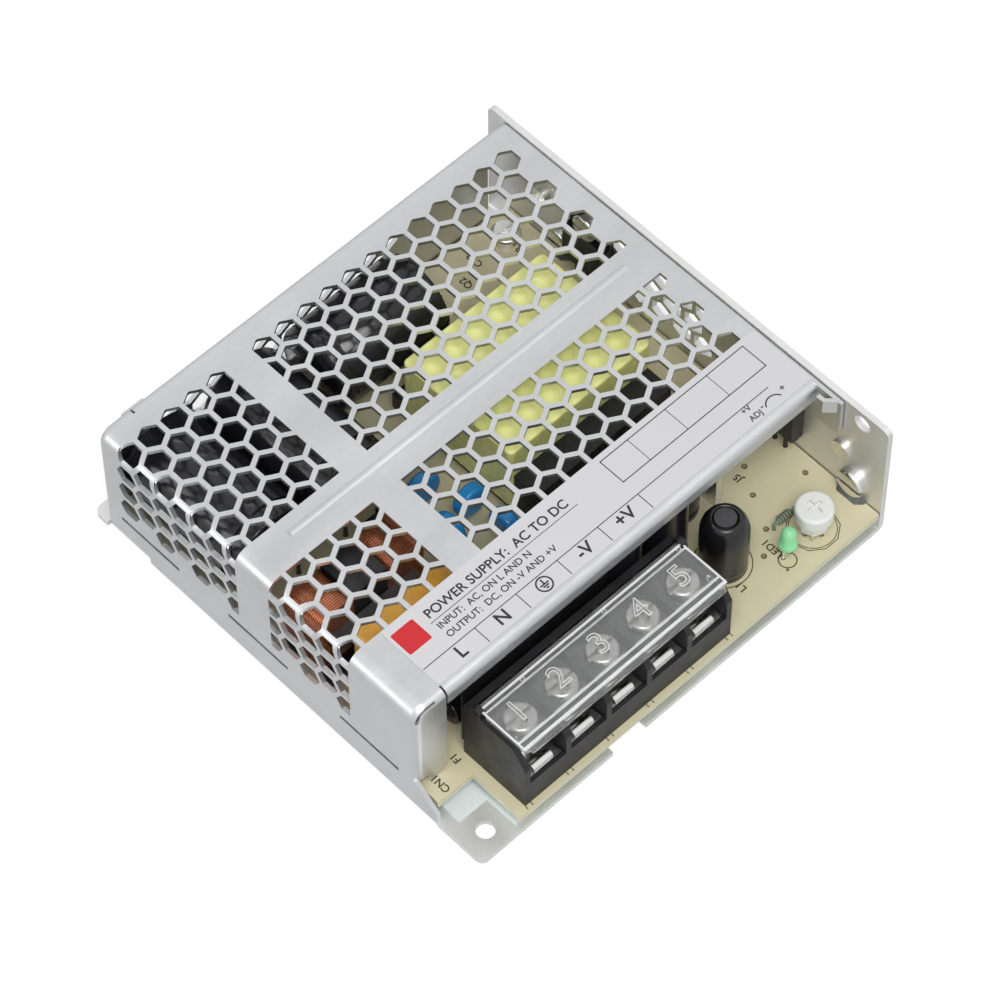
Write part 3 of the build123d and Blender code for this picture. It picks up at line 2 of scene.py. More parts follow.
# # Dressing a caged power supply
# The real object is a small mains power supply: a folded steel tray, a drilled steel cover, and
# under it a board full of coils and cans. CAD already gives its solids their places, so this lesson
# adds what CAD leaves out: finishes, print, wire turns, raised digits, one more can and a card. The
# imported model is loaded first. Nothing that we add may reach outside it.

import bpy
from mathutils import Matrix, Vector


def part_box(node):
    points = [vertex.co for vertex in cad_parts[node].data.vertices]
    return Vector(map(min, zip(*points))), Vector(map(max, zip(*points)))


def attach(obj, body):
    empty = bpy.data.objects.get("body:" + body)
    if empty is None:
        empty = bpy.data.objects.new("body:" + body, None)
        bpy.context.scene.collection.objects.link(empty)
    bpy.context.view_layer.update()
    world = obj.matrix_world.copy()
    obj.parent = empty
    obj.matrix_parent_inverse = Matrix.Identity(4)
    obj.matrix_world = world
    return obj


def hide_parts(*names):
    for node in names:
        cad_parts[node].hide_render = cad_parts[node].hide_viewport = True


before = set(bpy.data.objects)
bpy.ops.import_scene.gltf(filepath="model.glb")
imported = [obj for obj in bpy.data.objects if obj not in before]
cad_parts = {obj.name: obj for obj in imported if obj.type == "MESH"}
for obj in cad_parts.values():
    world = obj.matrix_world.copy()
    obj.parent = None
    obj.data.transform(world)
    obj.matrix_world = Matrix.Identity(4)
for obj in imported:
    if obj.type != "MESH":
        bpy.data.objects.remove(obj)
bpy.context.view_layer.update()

# %% [markdown]
# ## The camera
# A catalogue photo is taken from far away with a long lens, so that parallel edges stay nearly
# parallel. Three unit vectors say where the picture's right, its top and the photographer are. They
# could come from turning the camera by hand, but a matrix of the three puts it there exactly.

# %% Place the camera
import bpy
from mathutils import Euler, Matrix, Vector

picture_right = Vector((0.72005, -0.69391, -0.00366))
picture_top = Vector((0.58221, 0.60127, 0.54727))
towards_camera = Vector((-0.37756, -0.39619, 0.83695))
camera_place = Vector((-0.3165, -0.3352, 0.7115))

lens = bpy.data.cameras.new("studio_camera")
lens.lens = 174.614
lens.sensor_width = 36
lens.sensor_fit = "HORIZONTAL"
camera = bpy.data.objects.new("studio_camera", lens)
facing = Matrix((picture_right, picture_top, towards_camera)).transposed().to_4x4()
camera.matrix_world = Matrix.Translation(camera_place) @ facing
bpy.context.scene.collection.objects.link(camera)
bpy.context.scene.camera = camera
bpy.context.scene.view_settings.view_transform = "Standard"
print("camera stands", round(camera_place.length, 3), "m away")

# %% [markdown]
# ## The studio's air
# The photo has a pure white background. If all that white also lit the part, pale steel would burn
# out. The Light Path node tells rays apart: a ray from the camera or through a clear plastic sees
# white, a mirrored ray sees almost white, and every other ray gets a gentle fill of less than half
# that strength.

# %% Light the world
import bmesh
from math import pi, radians

room = bpy.data.worlds.new("studio_air")
bpy.context.scene.world = room
room.use_nodes = True


def arithmetic(tree, operation, *values):
    """A Math node: numbers are typed in, sockets are linked. Returns its result."""
    node = tree.nodes.new("ShaderNodeMath")
    node.operation = operation
    for socket, value in zip(node.inputs, values):
        if isinstance(value, (int, float)):
            socket.default_value = value
        else:
            tree.links.new(value, socket)
    return node.outputs[0]


def seen_directly(tree, mirrored_share=1.0):
    """One for rays from the camera or a clear surface, a share for mirrored ones, nothing for the rest."""
    path = tree.nodes.new("ShaderNodeLightPath")
    mirrored = arithmetic(tree, "MULTIPLY", path.outputs["Is Glossy Ray"], mirrored_share)
    seen = arithmetic(tree, "MAXIMUM", path.outputs["Is Camera Ray"], path.outputs["Is Transmission Ray"])
    return arithmetic(tree, "MAXIMUM", seen, mirrored)


fill_strength = 0.43
air = room.node_tree
sky = air.nodes["Background"]
sky.inputs["Color"].default_value = (1.0, 1.0, 1.0, 1.0)
sky_level = arithmetic(air, "MULTIPLY_ADD", seen_directly(air, 0.82), 1.0 - fill_strength, fill_strength)
air.links.new(sky_level, sky.inputs["Strength"])
print("fill light:", fill_strength)

# %% [markdown]
# ## Two soft boxes
# An area lamp is a soft box. Its light on a surface falls with the square of its distance, so the
# power is worked out from how much brightness it should add: share x pi x pi x distance squared.
# The high one stands near the camera, so its light falls through the same holes that we look through,
# and the low one on the left draws the bright line along the cover's bend.

# %% Hang the soft boxes
def soft_box(name, place, side, share):
    """An area lamp that faces the part and adds that share of full brightness."""
    lamp = bpy.data.lights.new(name, "AREA")
    lamp.shape = "SQUARE"
    lamp.size = side
    place = Vector(place)
    lamp.energy = share * pi * pi * place.length_squared
    holder = bpy.data.objects.new(name, lamp)
    aim = (-place).to_track_quat("-Z", "Y").to_matrix().to_4x4()
    holder.matrix_world = Matrix.Translation(place) @ aim
    bpy.context.scene.collection.objects.link(holder)
    print(name, "watts:", round(lamp.energy, 2))


soft_box("overhead_box", (-0.26, -0.40, 0.86), 0.50, 0.64)
soft_box("left_low_box", (-0.67, 0.32, 0.30), 0.28, 0.09)

# %% [markdown]
# ## The floor
# The part lies on a plain pale sheet. Where the camera looks at it the sheet glows a little as well,
# which lifts it to white and keeps the soft shadow that ties the part to the ground. A mirrored ray
# sees none of that glow, so the steel's sides stay a shade darker than its top.

# %% Lay the floor
mm = 0.001


def start_material(name, colour, metallic=0.0):
    """A node material with one Principled shader, set to a colour and to metal or not."""
    material = bpy.data.materials.new(name)
    material.use_nodes = True
    shader = material.node_tree.nodes["Principled BSDF"]
    shader.inputs["Base Color"].default_value = (*colour, 1.0)
    shader.inputs["Metallic"].default_value = metallic
    return material, material.node_tree, shader


paper_glow = 0.50
floor_height = -0.2 * mm
paper, paper_tree, paper_shader = start_material("studio_paper", (0.72, 0.72, 0.72))
paper_shader.inputs["Roughness"].default_value = 0.9
paper_shader.inputs["Specular IOR Level"].default_value = 0.1
paper_shader.inputs["Emission Color"].default_value = (1.0, 1.0, 1.0, 1.0)
glow = arithmetic(paper_tree, "MULTIPLY", seen_directly(paper_tree, 0.0), paper_glow)
paper_tree.links.new(glow, paper_shader.inputs["Emission Strength"])

sheet = bmesh.new()
bmesh.ops.create_grid(sheet, x_segments=2, y_segments=2, size=3.0,
                      matrix=Matrix.Translation((0, 0, floor_height)))
floor_mesh = bpy.data.meshes.new("floor")
sheet.to_mesh(floor_mesh)
sheet.free()
floor_mesh.materials.append(paper)
floor = bpy.data.objects.new("floor", floor_mesh)
bpy.context.scene.collection.objects.link(floor)
print("floor lies at", round(floor_height / mm, 2), "mm")

# %% [markdown]
# ## One grain for every surface
# Nothing real is one flat colour. Rolled steel, moulded plastic and film all have fine grain, and
# slow changes of tone over it. A node group holds that effect once: each material gives it the size
# of its own grain in millimetres, how far it is drawn out along each axis, and how rough it runs.

# %% Build the shared grain group
surface_grain = bpy.data.node_groups.new("surface_grain", "ShaderNodeTree")
for socket_name, kind in (("Colour", "NodeSocketColor"), ("Grain mm", "NodeSocketFloat"),
                          ("Along", "NodeSocketVector"), ("Contrast", "NodeSocketFloat"),
                          ("Rough low", "NodeSocketFloat"), ("Rough high", "NodeSocketFloat"),
                          ("Relief", "NodeSocketFloat")):
    surface_grain.interface.new_socket(socket_name, in_out="INPUT", socket_type=kind)
for socket_name, kind in (("Colour", "NodeSocketColor"), ("Roughness", "NodeSocketFloat"),
                          ("Normal", "NodeSocketVector")):
    surface_grain.interface.new_socket(socket_name, in_out="OUTPUT", socket_type=kind)

given = surface_grain.nodes.new("NodeGroupInput")
result = surface_grain.nodes.new("NodeGroupOutput")
spot = surface_grain.nodes.new("ShaderNodeTexCoord")
drawn = surface_grain.nodes.new("ShaderNodeVectorMath")
drawn.operation = "MULTIPLY"
surface_grain.links.new(spot.outputs["Object"], drawn.inputs[0])
surface_grain.links.new(given.outputs["Along"], drawn.inputs[1])


def grain_noise(scale, detail):
    """A noise over the drawn-out coordinates of the group."""
    noise = surface_grain.nodes.new("ShaderNodeTexNoise")
    noise.inputs["Detail"].default_value = detail
    surface_grain.links.new(drawn.outputs[0], noise.inputs["Vector"])
    surface_grain.links.new(scale, noise.inputs["Scale"])
    return noise.outputs["Fac"]


fine_scale = arithmetic(surface_grain, "DIVIDE", 1000.0, given.outputs["Grain mm"])
slow_scale = arithmetic(surface_grain, "DIVIDE", fine_scale, 14.0)
fine = grain_noise(fine_scale, 3.0)
slow = grain_noise(slow_scale, 2.0)
slow_part = arithmetic(surface_grain, "MULTIPLY", slow, 0.65)
both = arithmetic(surface_grain, "MULTIPLY_ADD", fine, 0.35, slow_part)
swing = arithmetic(surface_grain, "MULTIPLY", arithmetic(surface_grain, "SUBTRACT", both, 0.5), 4.0)
tone = arithmetic(surface_grain, "MULTIPLY_ADD", swing, given.outputs["Contrast"], 1.0)
tinted = surface_grain.nodes.new("ShaderNodeVectorMath")
tinted.operation = "SCALE"
surface_grain.links.new(given.outputs["Colour"], tinted.inputs[0])
surface_grain.links.new(tone, tinted.inputs["Scale"])
surface_grain.links.new(tinted.outputs[0], result.inputs["Colour"])

rough_range = surface_grain.nodes.new("ShaderNodeMapRange")
rough_range.inputs["From Min"].default_value = 0.3
rough_range.inputs["From Max"].default_value = 0.7
surface_grain.links.new(both, rough_range.inputs["Value"])
surface_grain.links.new(given.outputs["Rough low"], rough_range.inputs["To Min"])
surface_grain.links.new(given.outputs["Rough high"], rough_range.inputs["To Max"])
surface_grain.links.new(rough_range.outputs[0], result.inputs["Roughness"])

dents = surface_grain.nodes.new("ShaderNodeBump")
dents.inputs["Distance"].default_value = 0.05 * mm
surface_grain.links.new(given.outputs["Relief"], dents.inputs["Strength"])
surface_grain.links.new(fine, dents.inputs["Height"])
surface_grain.links.new(dents.outputs[0], result.inputs["Normal"])
print("grain group has", len(surface_grain.nodes), "nodes")

# %% [markdown]
# ## A finish from a few numbers
# Colours read off a picture are display values from 0 to 255, and the shader wants linear light, so
# a helper converts them. `finish` then makes a whole material from a colour and its grain, and hands
# back its node tree, for the materials that need a pattern of their own on top.

# %% Write the finish helper
def paint(red, green, blue):
    """Linear colour for a display colour of 0 to 255."""
    shares = [value / 255 for value in (red, green, blue)]
    return tuple(share / 12.92 if share < 0.04045 else ((share + 0.055) / 1.055) ** 2.4
                 for share in shares)


def finish(name, colour, grain=0.3, along=(1, 1, 1), contrast=0.04, rough=(0.35, 0.5), relief=0.15,
           metallic=0.0, **sockets):
    """A grained material. Returns it with its tree, its shader and its grain node."""
    material, tree, shader = start_material(name, colour, metallic)
    skin = tree.nodes.new("ShaderNodeGroup")
    skin.node_tree = surface_grain
    skin.inputs["Colour"].default_value = (*colour, 1.0)
    skin.inputs["Grain mm"].default_value = grain
    skin.inputs["Along"].default_value = along
    skin.inputs["Contrast"].default_value = contrast
    skin.inputs["Rough low"].default_value = rough[0]
    skin.inputs["Rough high"].default_value = rough[1]
    skin.inputs["Relief"].default_value = relief
    tree.links.new(skin.outputs["Colour"], shader.inputs["Base Color"])
    tree.links.new(skin.outputs["Roughness"], shader.inputs["Roughness"])
    tree.links.new(skin.outputs["Normal"], shader.inputs["Normal"])
    for socket, value in sockets.items():
        shader.inputs[socket.replace("_", " ")].default_value = value
    return material, tree, shader, skin


def dress(material, *node_names):
    """Puts a material on CAD nodes, in every slot that they have."""
    for node_name in node_names:
        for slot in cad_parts[node_name].material_slots:
            slot.material = material
    print(material.name, "on", len(node_names), "nodes")


# %% [markdown]
# ## Steel
# The cover is bright cold-rolled steel with a satin skin, and the tray is a duller zinc-coated sheet.
# Both are metals, so their colour is what they mirror. The cover's grain is drawn out along its
# width, as a rolling mill leaves it, and the tray's is the round mottle of zinc.

# %% Finish the sheet metal
cover_steel = finish("satin_cover_steel", (0.625, 0.635, 0.648), grain=0.5, along=(0.25, 1, 1),
                     contrast=0.07, rough=(0.32, 0.48), relief=0.12, metallic=1.0)[0]
tray_steel = finish("zinc_tray_steel", (0.76, 0.765, 0.755), grain=0.9, contrast=0.05,
                    rough=(0.38, 0.54), relief=0.14, metallic=0.9)[0]
dress(cover_steel, "top_cover")
dress(tray_steel, "base_chassis")

# %% [markdown]
# ## Plated and turned metal
# Screws and contacts are nickel or tin over steel, brighter and smoother than the sheet. The heat
# sink is bare extruded aluminium, with lines along the way it was pushed out of the die. The clamp
# screws get a darker nickel and the plates under them a near black, as painted shade: they sit in
# the recesses under the flap, and so sink into the block's dark.

# %% Finish the fittings
plated = finish("bright_plating", (0.78, 0.775, 0.75), grain=0.12, contrast=0.06, rough=(0.16, 0.30),
                relief=0.12, metallic=1.0)[0]
drawn_aluminium = finish("extruded_aluminium", (0.72, 0.73, 0.74), grain=0.25, along=(1, 1, 0.08),
                         contrast=0.08, rough=(0.28, 0.48), relief=0.25, metallic=1.0)[0]
# Painted shade: a darker nickel for the clamp screws and a near black for the clamp plates, which sit in
# the recesses under the flap.
shaded_screw_nickel = finish("clamp_screw_painted_shade", (0.40, 0.395, 0.38), grain=0.12, contrast=0.10,
                     rough=(0.22, 0.36), relief=0.15, metallic=1.0)[0]
shaded_plate_steel = finish("clamp_plate_painted_shade", (0.085, 0.085, 0.09), grain=0.15, contrast=0.10,
                     rough=(0.35, 0.50), relief=0.15, metallic=1.0)[0]


def named(*starts):
    """The CAD nodes whose names start in one of these ways, in order."""
    return [name for name in sorted(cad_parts) if name.startswith(starts)]


dress(plated, *named("board_screw", "wall_screw", "wall_stud", "terminal_contact"),
      "led_leads", "transistor_screws")
# The clamp screws and plates take the painted shade of the recesses under the flap.
dress(shaded_screw_nickel, *named("terminal_screw"))
dress(shaded_plate_steel, *named("clamp_plate"))
dress(drawn_aluminium, "output_heatsink")

# %% [markdown]
# ## Plastics
# The terminal block is black glass-filled nylon with a spark-eroded skin. The flap over it is clear
# polycarbonate: a shader that transmits bends light as the real sheet does, and a little plain white
# in it is the haze that moulded sheet has. The trimmer is white nylon that spreads some light inside.

# %% Finish the plastics
black_nylon = finish("black_nylon", paint(30, 30, 32), grain=0.22, contrast=0.10, rough=(0.34, 0.50),
                     relief=0.30, Specular_IOR_Level=0.4)[0]
clear_sheet = finish("clear_flap_plastic", (0.95, 0.96, 0.96), grain=3.0, contrast=0.004,
                     rough=(0.0, 0.02), relief=0.01, Transmission_Weight=0.92, IOR=1.45)[0]
white_nylon = finish("white_nylon", paint(232, 233, 229), grain=0.3, contrast=0.02, rough=(0.30, 0.42),
                     relief=0.10, Subsurface_Weight=0.15, Subsurface_Scale=0.0008)[0]
dress(black_nylon, "terminal_block_body", "transformer_bobbin", "bridge_rectifier", "output_rectifier",
      "switching_transistor")
dress(clear_sheet, "terminal_cover")
dress(white_nylon, "trimmer_knob", "trimmer_body")

# %% [markdown]
# ## Films
# The rating label is white satin vinyl, and the sheet under the board is a milky insulating film.
# Film is smooth, so it takes only a faint, slow waviness.

# %% Finish the films
label_vinyl = finish("label_vinyl", paint(213, 213, 216), grain=0.6, contrast=0.008,
                     rough=(0.34, 0.44), relief=0.04)[0]
milky_film = finish("milky_film", paint(222, 230, 232), grain=0.8, contrast=0.02, rough=(0.25, 0.40),
                    relief=0.06)[0]
dress(label_vinyl, "rating_label")
dress(milky_film, "insulating_sheet")

# %% [markdown]
# ## The board
# Cheap one-sided laminate is tan paper and glass under clear varnish, and its solder side is a pale
# green. Only its cut edge shows both. The height above the floor, read from the object's own
# coordinates, mixes the green in from below, and two crossed waves give the weave.

# %% Finish the board
def mix_colours(tree, share, under, over):
    """A colour mix: `under` where the share is nothing, `over` where it is one."""
    node = tree.nodes.new("ShaderNodeMix")
    node.data_type = "RGBA"
    for socket, value in ((node.inputs[0], share), (node.inputs[6], under), (node.inputs[7], over)):
        if isinstance(value, (int, float)):
            socket.default_value = value
        elif isinstance(value, tuple):
            socket.default_value = (*value, 1.0)
        else:
            tree.links.new(value, socket)
    return node.outputs[2]


def own_spot(tree, centre=(0, 0, 0), turn=(0, 0, 0)):
    """Object coordinates in metres, measured from a centre and turned, as one vector."""
    spot = tree.nodes.new("ShaderNodeTexCoord")
    shift = tree.nodes.new("ShaderNodeMapping")
    shift.inputs["Rotation"].default_value = turn
    shift.inputs["Location"].default_value = -(Euler(turn).to_matrix() @ Vector(centre))
    tree.links.new(spot.outputs["Object"], shift.inputs["Vector"])
    return shift.outputs[0]


def own_place(tree, centre=(0, 0, 0)):
    """The same coordinates as three numbers: x, y and z."""
    parts = tree.nodes.new("ShaderNodeSeparateXYZ")
    tree.links.new(own_spot(tree, centre), parts.inputs[0])
    return parts.outputs[0], parts.outputs[1], parts.outputs[2]


laminate, laminate_tree, laminate_shader, laminate_skin = finish(
    "varnished_laminate", paint(214, 206, 172), grain=0.5, contrast=0.04, rough=(0.26, 0.42), relief=0.10,
    Coat_Weight=0.3)
board_x, board_y, board_z = own_place(laminate_tree)
thread_pitch = 0.55 * mm
thread_count = 2 * pi / thread_pitch
weft = arithmetic(laminate_tree, "SINE", arithmetic(laminate_tree, "MULTIPLY", board_x, thread_count))
warp = arithmetic(laminate_tree, "SINE", arithmetic(laminate_tree, "MULTIPLY", board_y, thread_count))
crossed = arithmetic(laminate_tree, "MULTIPLY", weft, warp)
weave = arithmetic(laminate_tree, "MULTIPLY_ADD", crossed, 0.05, 0.05)
woven = mix_colours(laminate_tree, weave, laminate_skin.outputs["Colour"], paint(180, 170, 130))
solder_mask_top = 4.15 * mm
below = arithmetic(laminate_tree, "LESS_THAN", board_z, solder_mask_top)
board_colour = mix_colours(laminate_tree, below, woven, paint(226, 232, 208))
laminate_tree.links.new(board_colour, laminate_shader.inputs["Base Color"])
dress(laminate, "circuit_board")

# %% [markdown]
# ## Tape, enamel and ferrite
# The transformer is wrapped in thin yellow polyester tape, whose laps show as faint lines. Under it
# and in the chokes is ferrite, a fired ceramic with a peppery grain. The line choke's wire is copper
# under tinted enamel, so it is only partly a metal to the eye, with a clear coat over it.

# %% Finish the wound parts
tape, tape_tree, tape_shader, tape_skin = finish(
    "yellow_polyester_tape", paint(248, 250, 164), grain=1.6, contrast=0.03, rough=(0.18, 0.36),
    relief=0.30, Coat_Weight=0.2)
tape_y = own_place(tape_tree)[1]
lap_pitch = 4.6 * mm
lap = arithmetic(tape_tree, "FRACT", arithmetic(tape_tree, "MULTIPLY", tape_y, 1 / lap_pitch))
step_edge = arithmetic(tape_tree, "LESS_THAN", lap, 0.045)
tape_colour = mix_colours(tape_tree, arithmetic(tape_tree, "MULTIPLY", step_edge, 0.18),
                          tape_skin.outputs["Colour"], paint(206, 208, 96))
tape_tree.links.new(tape_colour, tape_shader.inputs["Base Color"])
ferrite = finish("fired_ferrite", paint(62, 62, 64), grain=0.18, contrast=0.16, rough=(0.38, 0.6),
                 relief=0.35)[0]
enamel_copper = finish("enamelled_copper", paint(190, 122, 88), grain=0.5, contrast=0.12,
                       rough=(0.20, 0.32), relief=0.12, metallic=0.8, Coat_Weight=0.4)[0]
bobbin_nylon = finish("black_bobbin_nylon", paint(30, 30, 32), grain=0.3, contrast=0.10,
                      rough=(0.28, 0.42), relief=0.20)[0]
dress(tape, "transformer_wrap")
dress(ferrite, "transformer_core", "line_choke_core", "output_choke_core")
dress(enamel_copper, "line_winding_left", "line_winding_right")
dress(bobbin_nylon, "line_choke_bobbin")

# %% [markdown]
# ## Dipped and cast parts
# Disc capacitors are dipped in epoxy, so they are glossy and a little lumpy. The film capacitor is a
# moulded amber box. The lamp is tinted epoxy: some light goes through it, and some spreads inside.

# %% Finish the dipped parts
blue_epoxy = finish("blue_epoxy", paint(44, 150, 224), grain=1.3, contrast=0.07, rough=(0.14, 0.28),
                    relief=0.45)[0]
green_epoxy = finish("dark_green_epoxy", paint(72, 84, 72), grain=1.2, contrast=0.08, rough=(0.25, 0.42),
                     relief=0.45)[0]
amber_box = finish("amber_film_box", paint(246, 184, 74), grain=0.7, contrast=0.05, rough=(0.22, 0.36),
                   relief=0.12)[0]
lamp_epoxy = finish("green_lamp_epoxy", paint(160, 242, 182), grain=0.9, contrast=0.04, rough=(0.12, 0.22),
                    relief=0.08, Transmission_Weight=0.15, IOR=1.4, Subsurface_Weight=0.25,
                    Subsurface_Scale=0.001)[0]
dress(blue_epoxy, *named("y_capacitor"))
dress(green_epoxy, "thermistor")
dress(amber_box, "x_capacitor")

# %% [markdown]
# ## The sense resistor
# A small resistor is a dipped ceramic body with painted rings. The rings are a pattern along its own
# axis: a comb of narrow bands, each where a step function is one.

# %% Paint the resistor's rings
resistor, resistor_tree, resistor_shader, resistor_skin = finish(
    "ringed_resistor", paint(120, 148, 128), grain=0.5, contrast=0.05, rough=(0.25, 0.4), relief=0.2)
body_low, body_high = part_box("sense_resistor")
body_size = body_high - body_low
long_axis = max(range(3), key=lambda axis: body_size[axis])
across = own_place(resistor_tree, (body_low + body_high) / 2)[long_axis]
ring_pitch = body_size[long_axis] / 9
comb = arithmetic(resistor_tree, "FRACT", arithmetic(resistor_tree, "MULTIPLY", across, 1 / ring_pitch))
ringed = arithmetic(resistor_tree, "LESS_THAN", comb, 0.4)
off_middle = arithmetic(resistor_tree, "ABSOLUTE", across)
near_middle = arithmetic(resistor_tree, "LESS_THAN", off_middle, 2.6 * ring_pitch)
ring_mask = arithmetic(resistor_tree, "MULTIPLY", ringed, near_middle)
ringed_colour = mix_colours(resistor_tree, ring_mask, resistor_skin.outputs["Colour"], paint(96, 54, 36))
resistor_tree.links.new(ringed_colour, resistor_shader.inputs["Base Color"])
dress(resistor, "sense_resistor")
print("rings every", round(1000 * ring_pitch, 2), "mm")

# %% [markdown]
# ## Shrink sleeves
# Every can is aluminium in a black shrink sleeve: a pale stripe with minus marks shows the negative
# side, the sleeve curls over the rim, and the bare end has a cross pressed in to let it burst
# safely. One group of masks, measured from the can's own axis, does it all without any new mesh.

# %% Build the sleeve pattern
sleeve_marks = bpy.data.node_groups.new("sleeve_marks", "ShaderNodeTree")
for socket_name, kind in (("Place", "NodeSocketVector"), ("Radius", "NodeSocketFloat"),
                          ("Stripe angle", "NodeSocketFloat")):
    sleeve_marks.interface.new_socket(socket_name, in_out="INPUT", socket_type=kind)
for socket_name in ("Stripe", "Bare end", "Cross"):
    sleeve_marks.interface.new_socket(socket_name, in_out="OUTPUT", socket_type="NodeSocketFloat")
asked = sleeve_marks.nodes.new("NodeGroupInput")
masks = sleeve_marks.nodes.new("NodeGroupOutput")
axes = sleeve_marks.nodes.new("ShaderNodeSeparateXYZ")
sleeve_marks.links.new(asked.outputs["Place"], axes.inputs[0])
can_x, can_y, can_z = axes.outputs[0], axes.outputs[1], axes.outputs[2]
reach = arithmetic(sleeve_marks, "POWER", arithmetic(
    sleeve_marks, "MULTIPLY_ADD", can_x, can_x, arithmetic(sleeve_marks, "MULTIPLY", can_y, can_y)), 0.5)
inner_share = arithmetic(sleeve_marks, "DIVIDE", reach, asked.outputs["Radius"])
bare = arithmetic(sleeve_marks, "LESS_THAN", inner_share, 0.80)
angle = arithmetic(sleeve_marks, "ARCTAN2", can_y, can_x)
off_stripe = arithmetic(sleeve_marks, "ABSOLUTE", arithmetic(
    sleeve_marks, "SUBTRACT", angle, asked.outputs["Stripe angle"]))
striped = arithmetic(sleeve_marks, "LESS_THAN", off_stripe, 0.24)
minus_pitch = 4.2 * mm
minus_run = arithmetic(sleeve_marks, "FRACT", arithmetic(sleeve_marks, "MULTIPLY", can_z, 1 / minus_pitch))
minus_long = arithmetic(sleeve_marks, "LESS_THAN", minus_run, 0.42)
minus_thin = arithmetic(sleeve_marks, "LESS_THAN", off_stripe, 0.07)
minus = arithmetic(sleeve_marks, "MULTIPLY", minus_long, minus_thin)
pale = arithmetic(sleeve_marks, "SUBTRACT", striped, minus)
on_side = arithmetic(sleeve_marks, "GREATER_THAN", inner_share, 0.97)
sleeve_marks.links.new(arithmetic(sleeve_marks, "MULTIPLY", pale, on_side), masks.inputs["Stripe"])
sleeve_marks.links.new(bare, masks.inputs["Bare end"])
nearest_arm = arithmetic(sleeve_marks, "MINIMUM", arithmetic(sleeve_marks, "ABSOLUTE", can_x),
                         arithmetic(sleeve_marks, "ABSOLUTE", can_y))
pressed = arithmetic(sleeve_marks, "LESS_THAN", nearest_arm, 0.16 * mm)
within = arithmetic(sleeve_marks, "LESS_THAN", inner_share, 0.62)
sleeve_marks.links.new(arithmetic(sleeve_marks, "MULTIPLY", pressed, within), masks.inputs["Cross"])
print("sleeve group has", len(sleeve_marks.nodes), "nodes")

# %% [markdown]
# ## The cans
# The two bulk cans of the CAD lie on their sides and the three output cans stand. A Mapping node
# lays the pattern's axis along each can. The masks mix the sleeve's colour with the stripe and the
# bare end, and the bare end is also metal.

# %% Sleeve the five cans
def sleeve_finish(name, centre, radius, turn, stripe_angle, folds):
    """Black shrink sleeve, stripe and bare end for one can whose axis the turn stands upright."""
    material, tree, shader, skin = finish(
        name, paint(34, 34, 37), grain=1.5, along=folds, contrast=0.16, rough=(0.12, 0.24), relief=1.6)
    marks = tree.nodes.new("ShaderNodeGroup")
    marks.node_tree = sleeve_marks
    marks.inputs["Radius"].default_value = radius
    marks.inputs["Stripe angle"].default_value = stripe_angle
    tree.links.new(own_spot(tree, centre, turn), marks.inputs["Place"])
    with_stripe = mix_colours(tree, marks.outputs["Stripe"], skin.outputs["Colour"], paint(112, 112, 116))
    with_end = mix_colours(tree, marks.outputs["Bare end"], with_stripe, (0.62, 0.63, 0.64))
    with_cross = mix_colours(tree, marks.outputs["Cross"], with_end, (0.22, 0.22, 0.23))
    tree.links.new(with_cross, shader.inputs["Base Color"])
    tree.links.new(marks.outputs["Bare end"], shader.inputs["Metallic"])
    return material


bulk_radius = 9.0 * mm
along_y, along_x, upright_can = (pi / 2, 0, 0), (0, -pi / 2, 0), (0, 0, 0)
for node_name, can_centre_x in (("bulk_capacitor_1", -37.0), ("bulk_capacitor_2", -18.5)):
    dress(sleeve_finish(node_name + "_sleeve", (can_centre_x * mm, 28.4 * mm, 14.8 * mm), bulk_radius,
                        along_y, 0.4, (1, 0.10, 1)), node_name)
for node_name, place_x, place_y, radius in (("output_capacitor_1", 3.54, -27.28, 5.0),
                                            ("output_capacitor_2", 14.50, -27.28, 5.0),
                                            ("output_capacitor_3", 22.81, -23.46, 4.0)):
    dress(sleeve_finish(node_name + "_sleeve", (place_x * mm, place_y * mm, 14.0 * mm), radius * mm,
                        upright_can, 2.2, (1, 1, 0.10)), node_name)
shrink = finish("black_shrink_sleeve", paint(24, 24, 26), grain=0.8, contrast=0.10, rough=(0.16, 0.30),
                relief=0.20)[0]
dress(shrink, "fuse")

# %% [markdown]
# ## Turning a bmesh into a piece
# Everything that follows is new mesh. A bmesh is shaped in millimetres, which keeps the numbers
# readable, then scaled to metres. Its object stays at the origin and rides on the body that carries
# it, so it follows when that body moves.

# %% Write the piece helper
def keep_piece(name, shape, material, body):
    """Makes a bmesh in millimetres into a piece that rides on a body."""
    bmesh.ops.scale(shape, vec=(mm, mm, mm), verts=shape.verts)
    mesh = bpy.data.meshes.new(name)
    shape.to_mesh(mesh)
    shape.free()
    mesh.materials.append(material)
    piece = bpy.data.objects.new(name, mesh)
    bpy.context.scene.collection.objects.link(piece)
    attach(piece, body)
    print(name, "has", len(mesh.polygons), "faces")
    return piece


def add_bar(shape, x_range, y_range, z_range):
    """A thin straight bar between the ranges of its three sides."""
    ranges = (x_range, y_range, z_range)
    middle = Vector([(low + high) / 2 for low, high in ranges])
    sides = Vector([high - low for low, high in ranges])
    place = Matrix.Translation(middle) @ Matrix.Diagonal(sides).to_4x4()
    bmesh.ops.create_cube(shape, size=1, matrix=place)


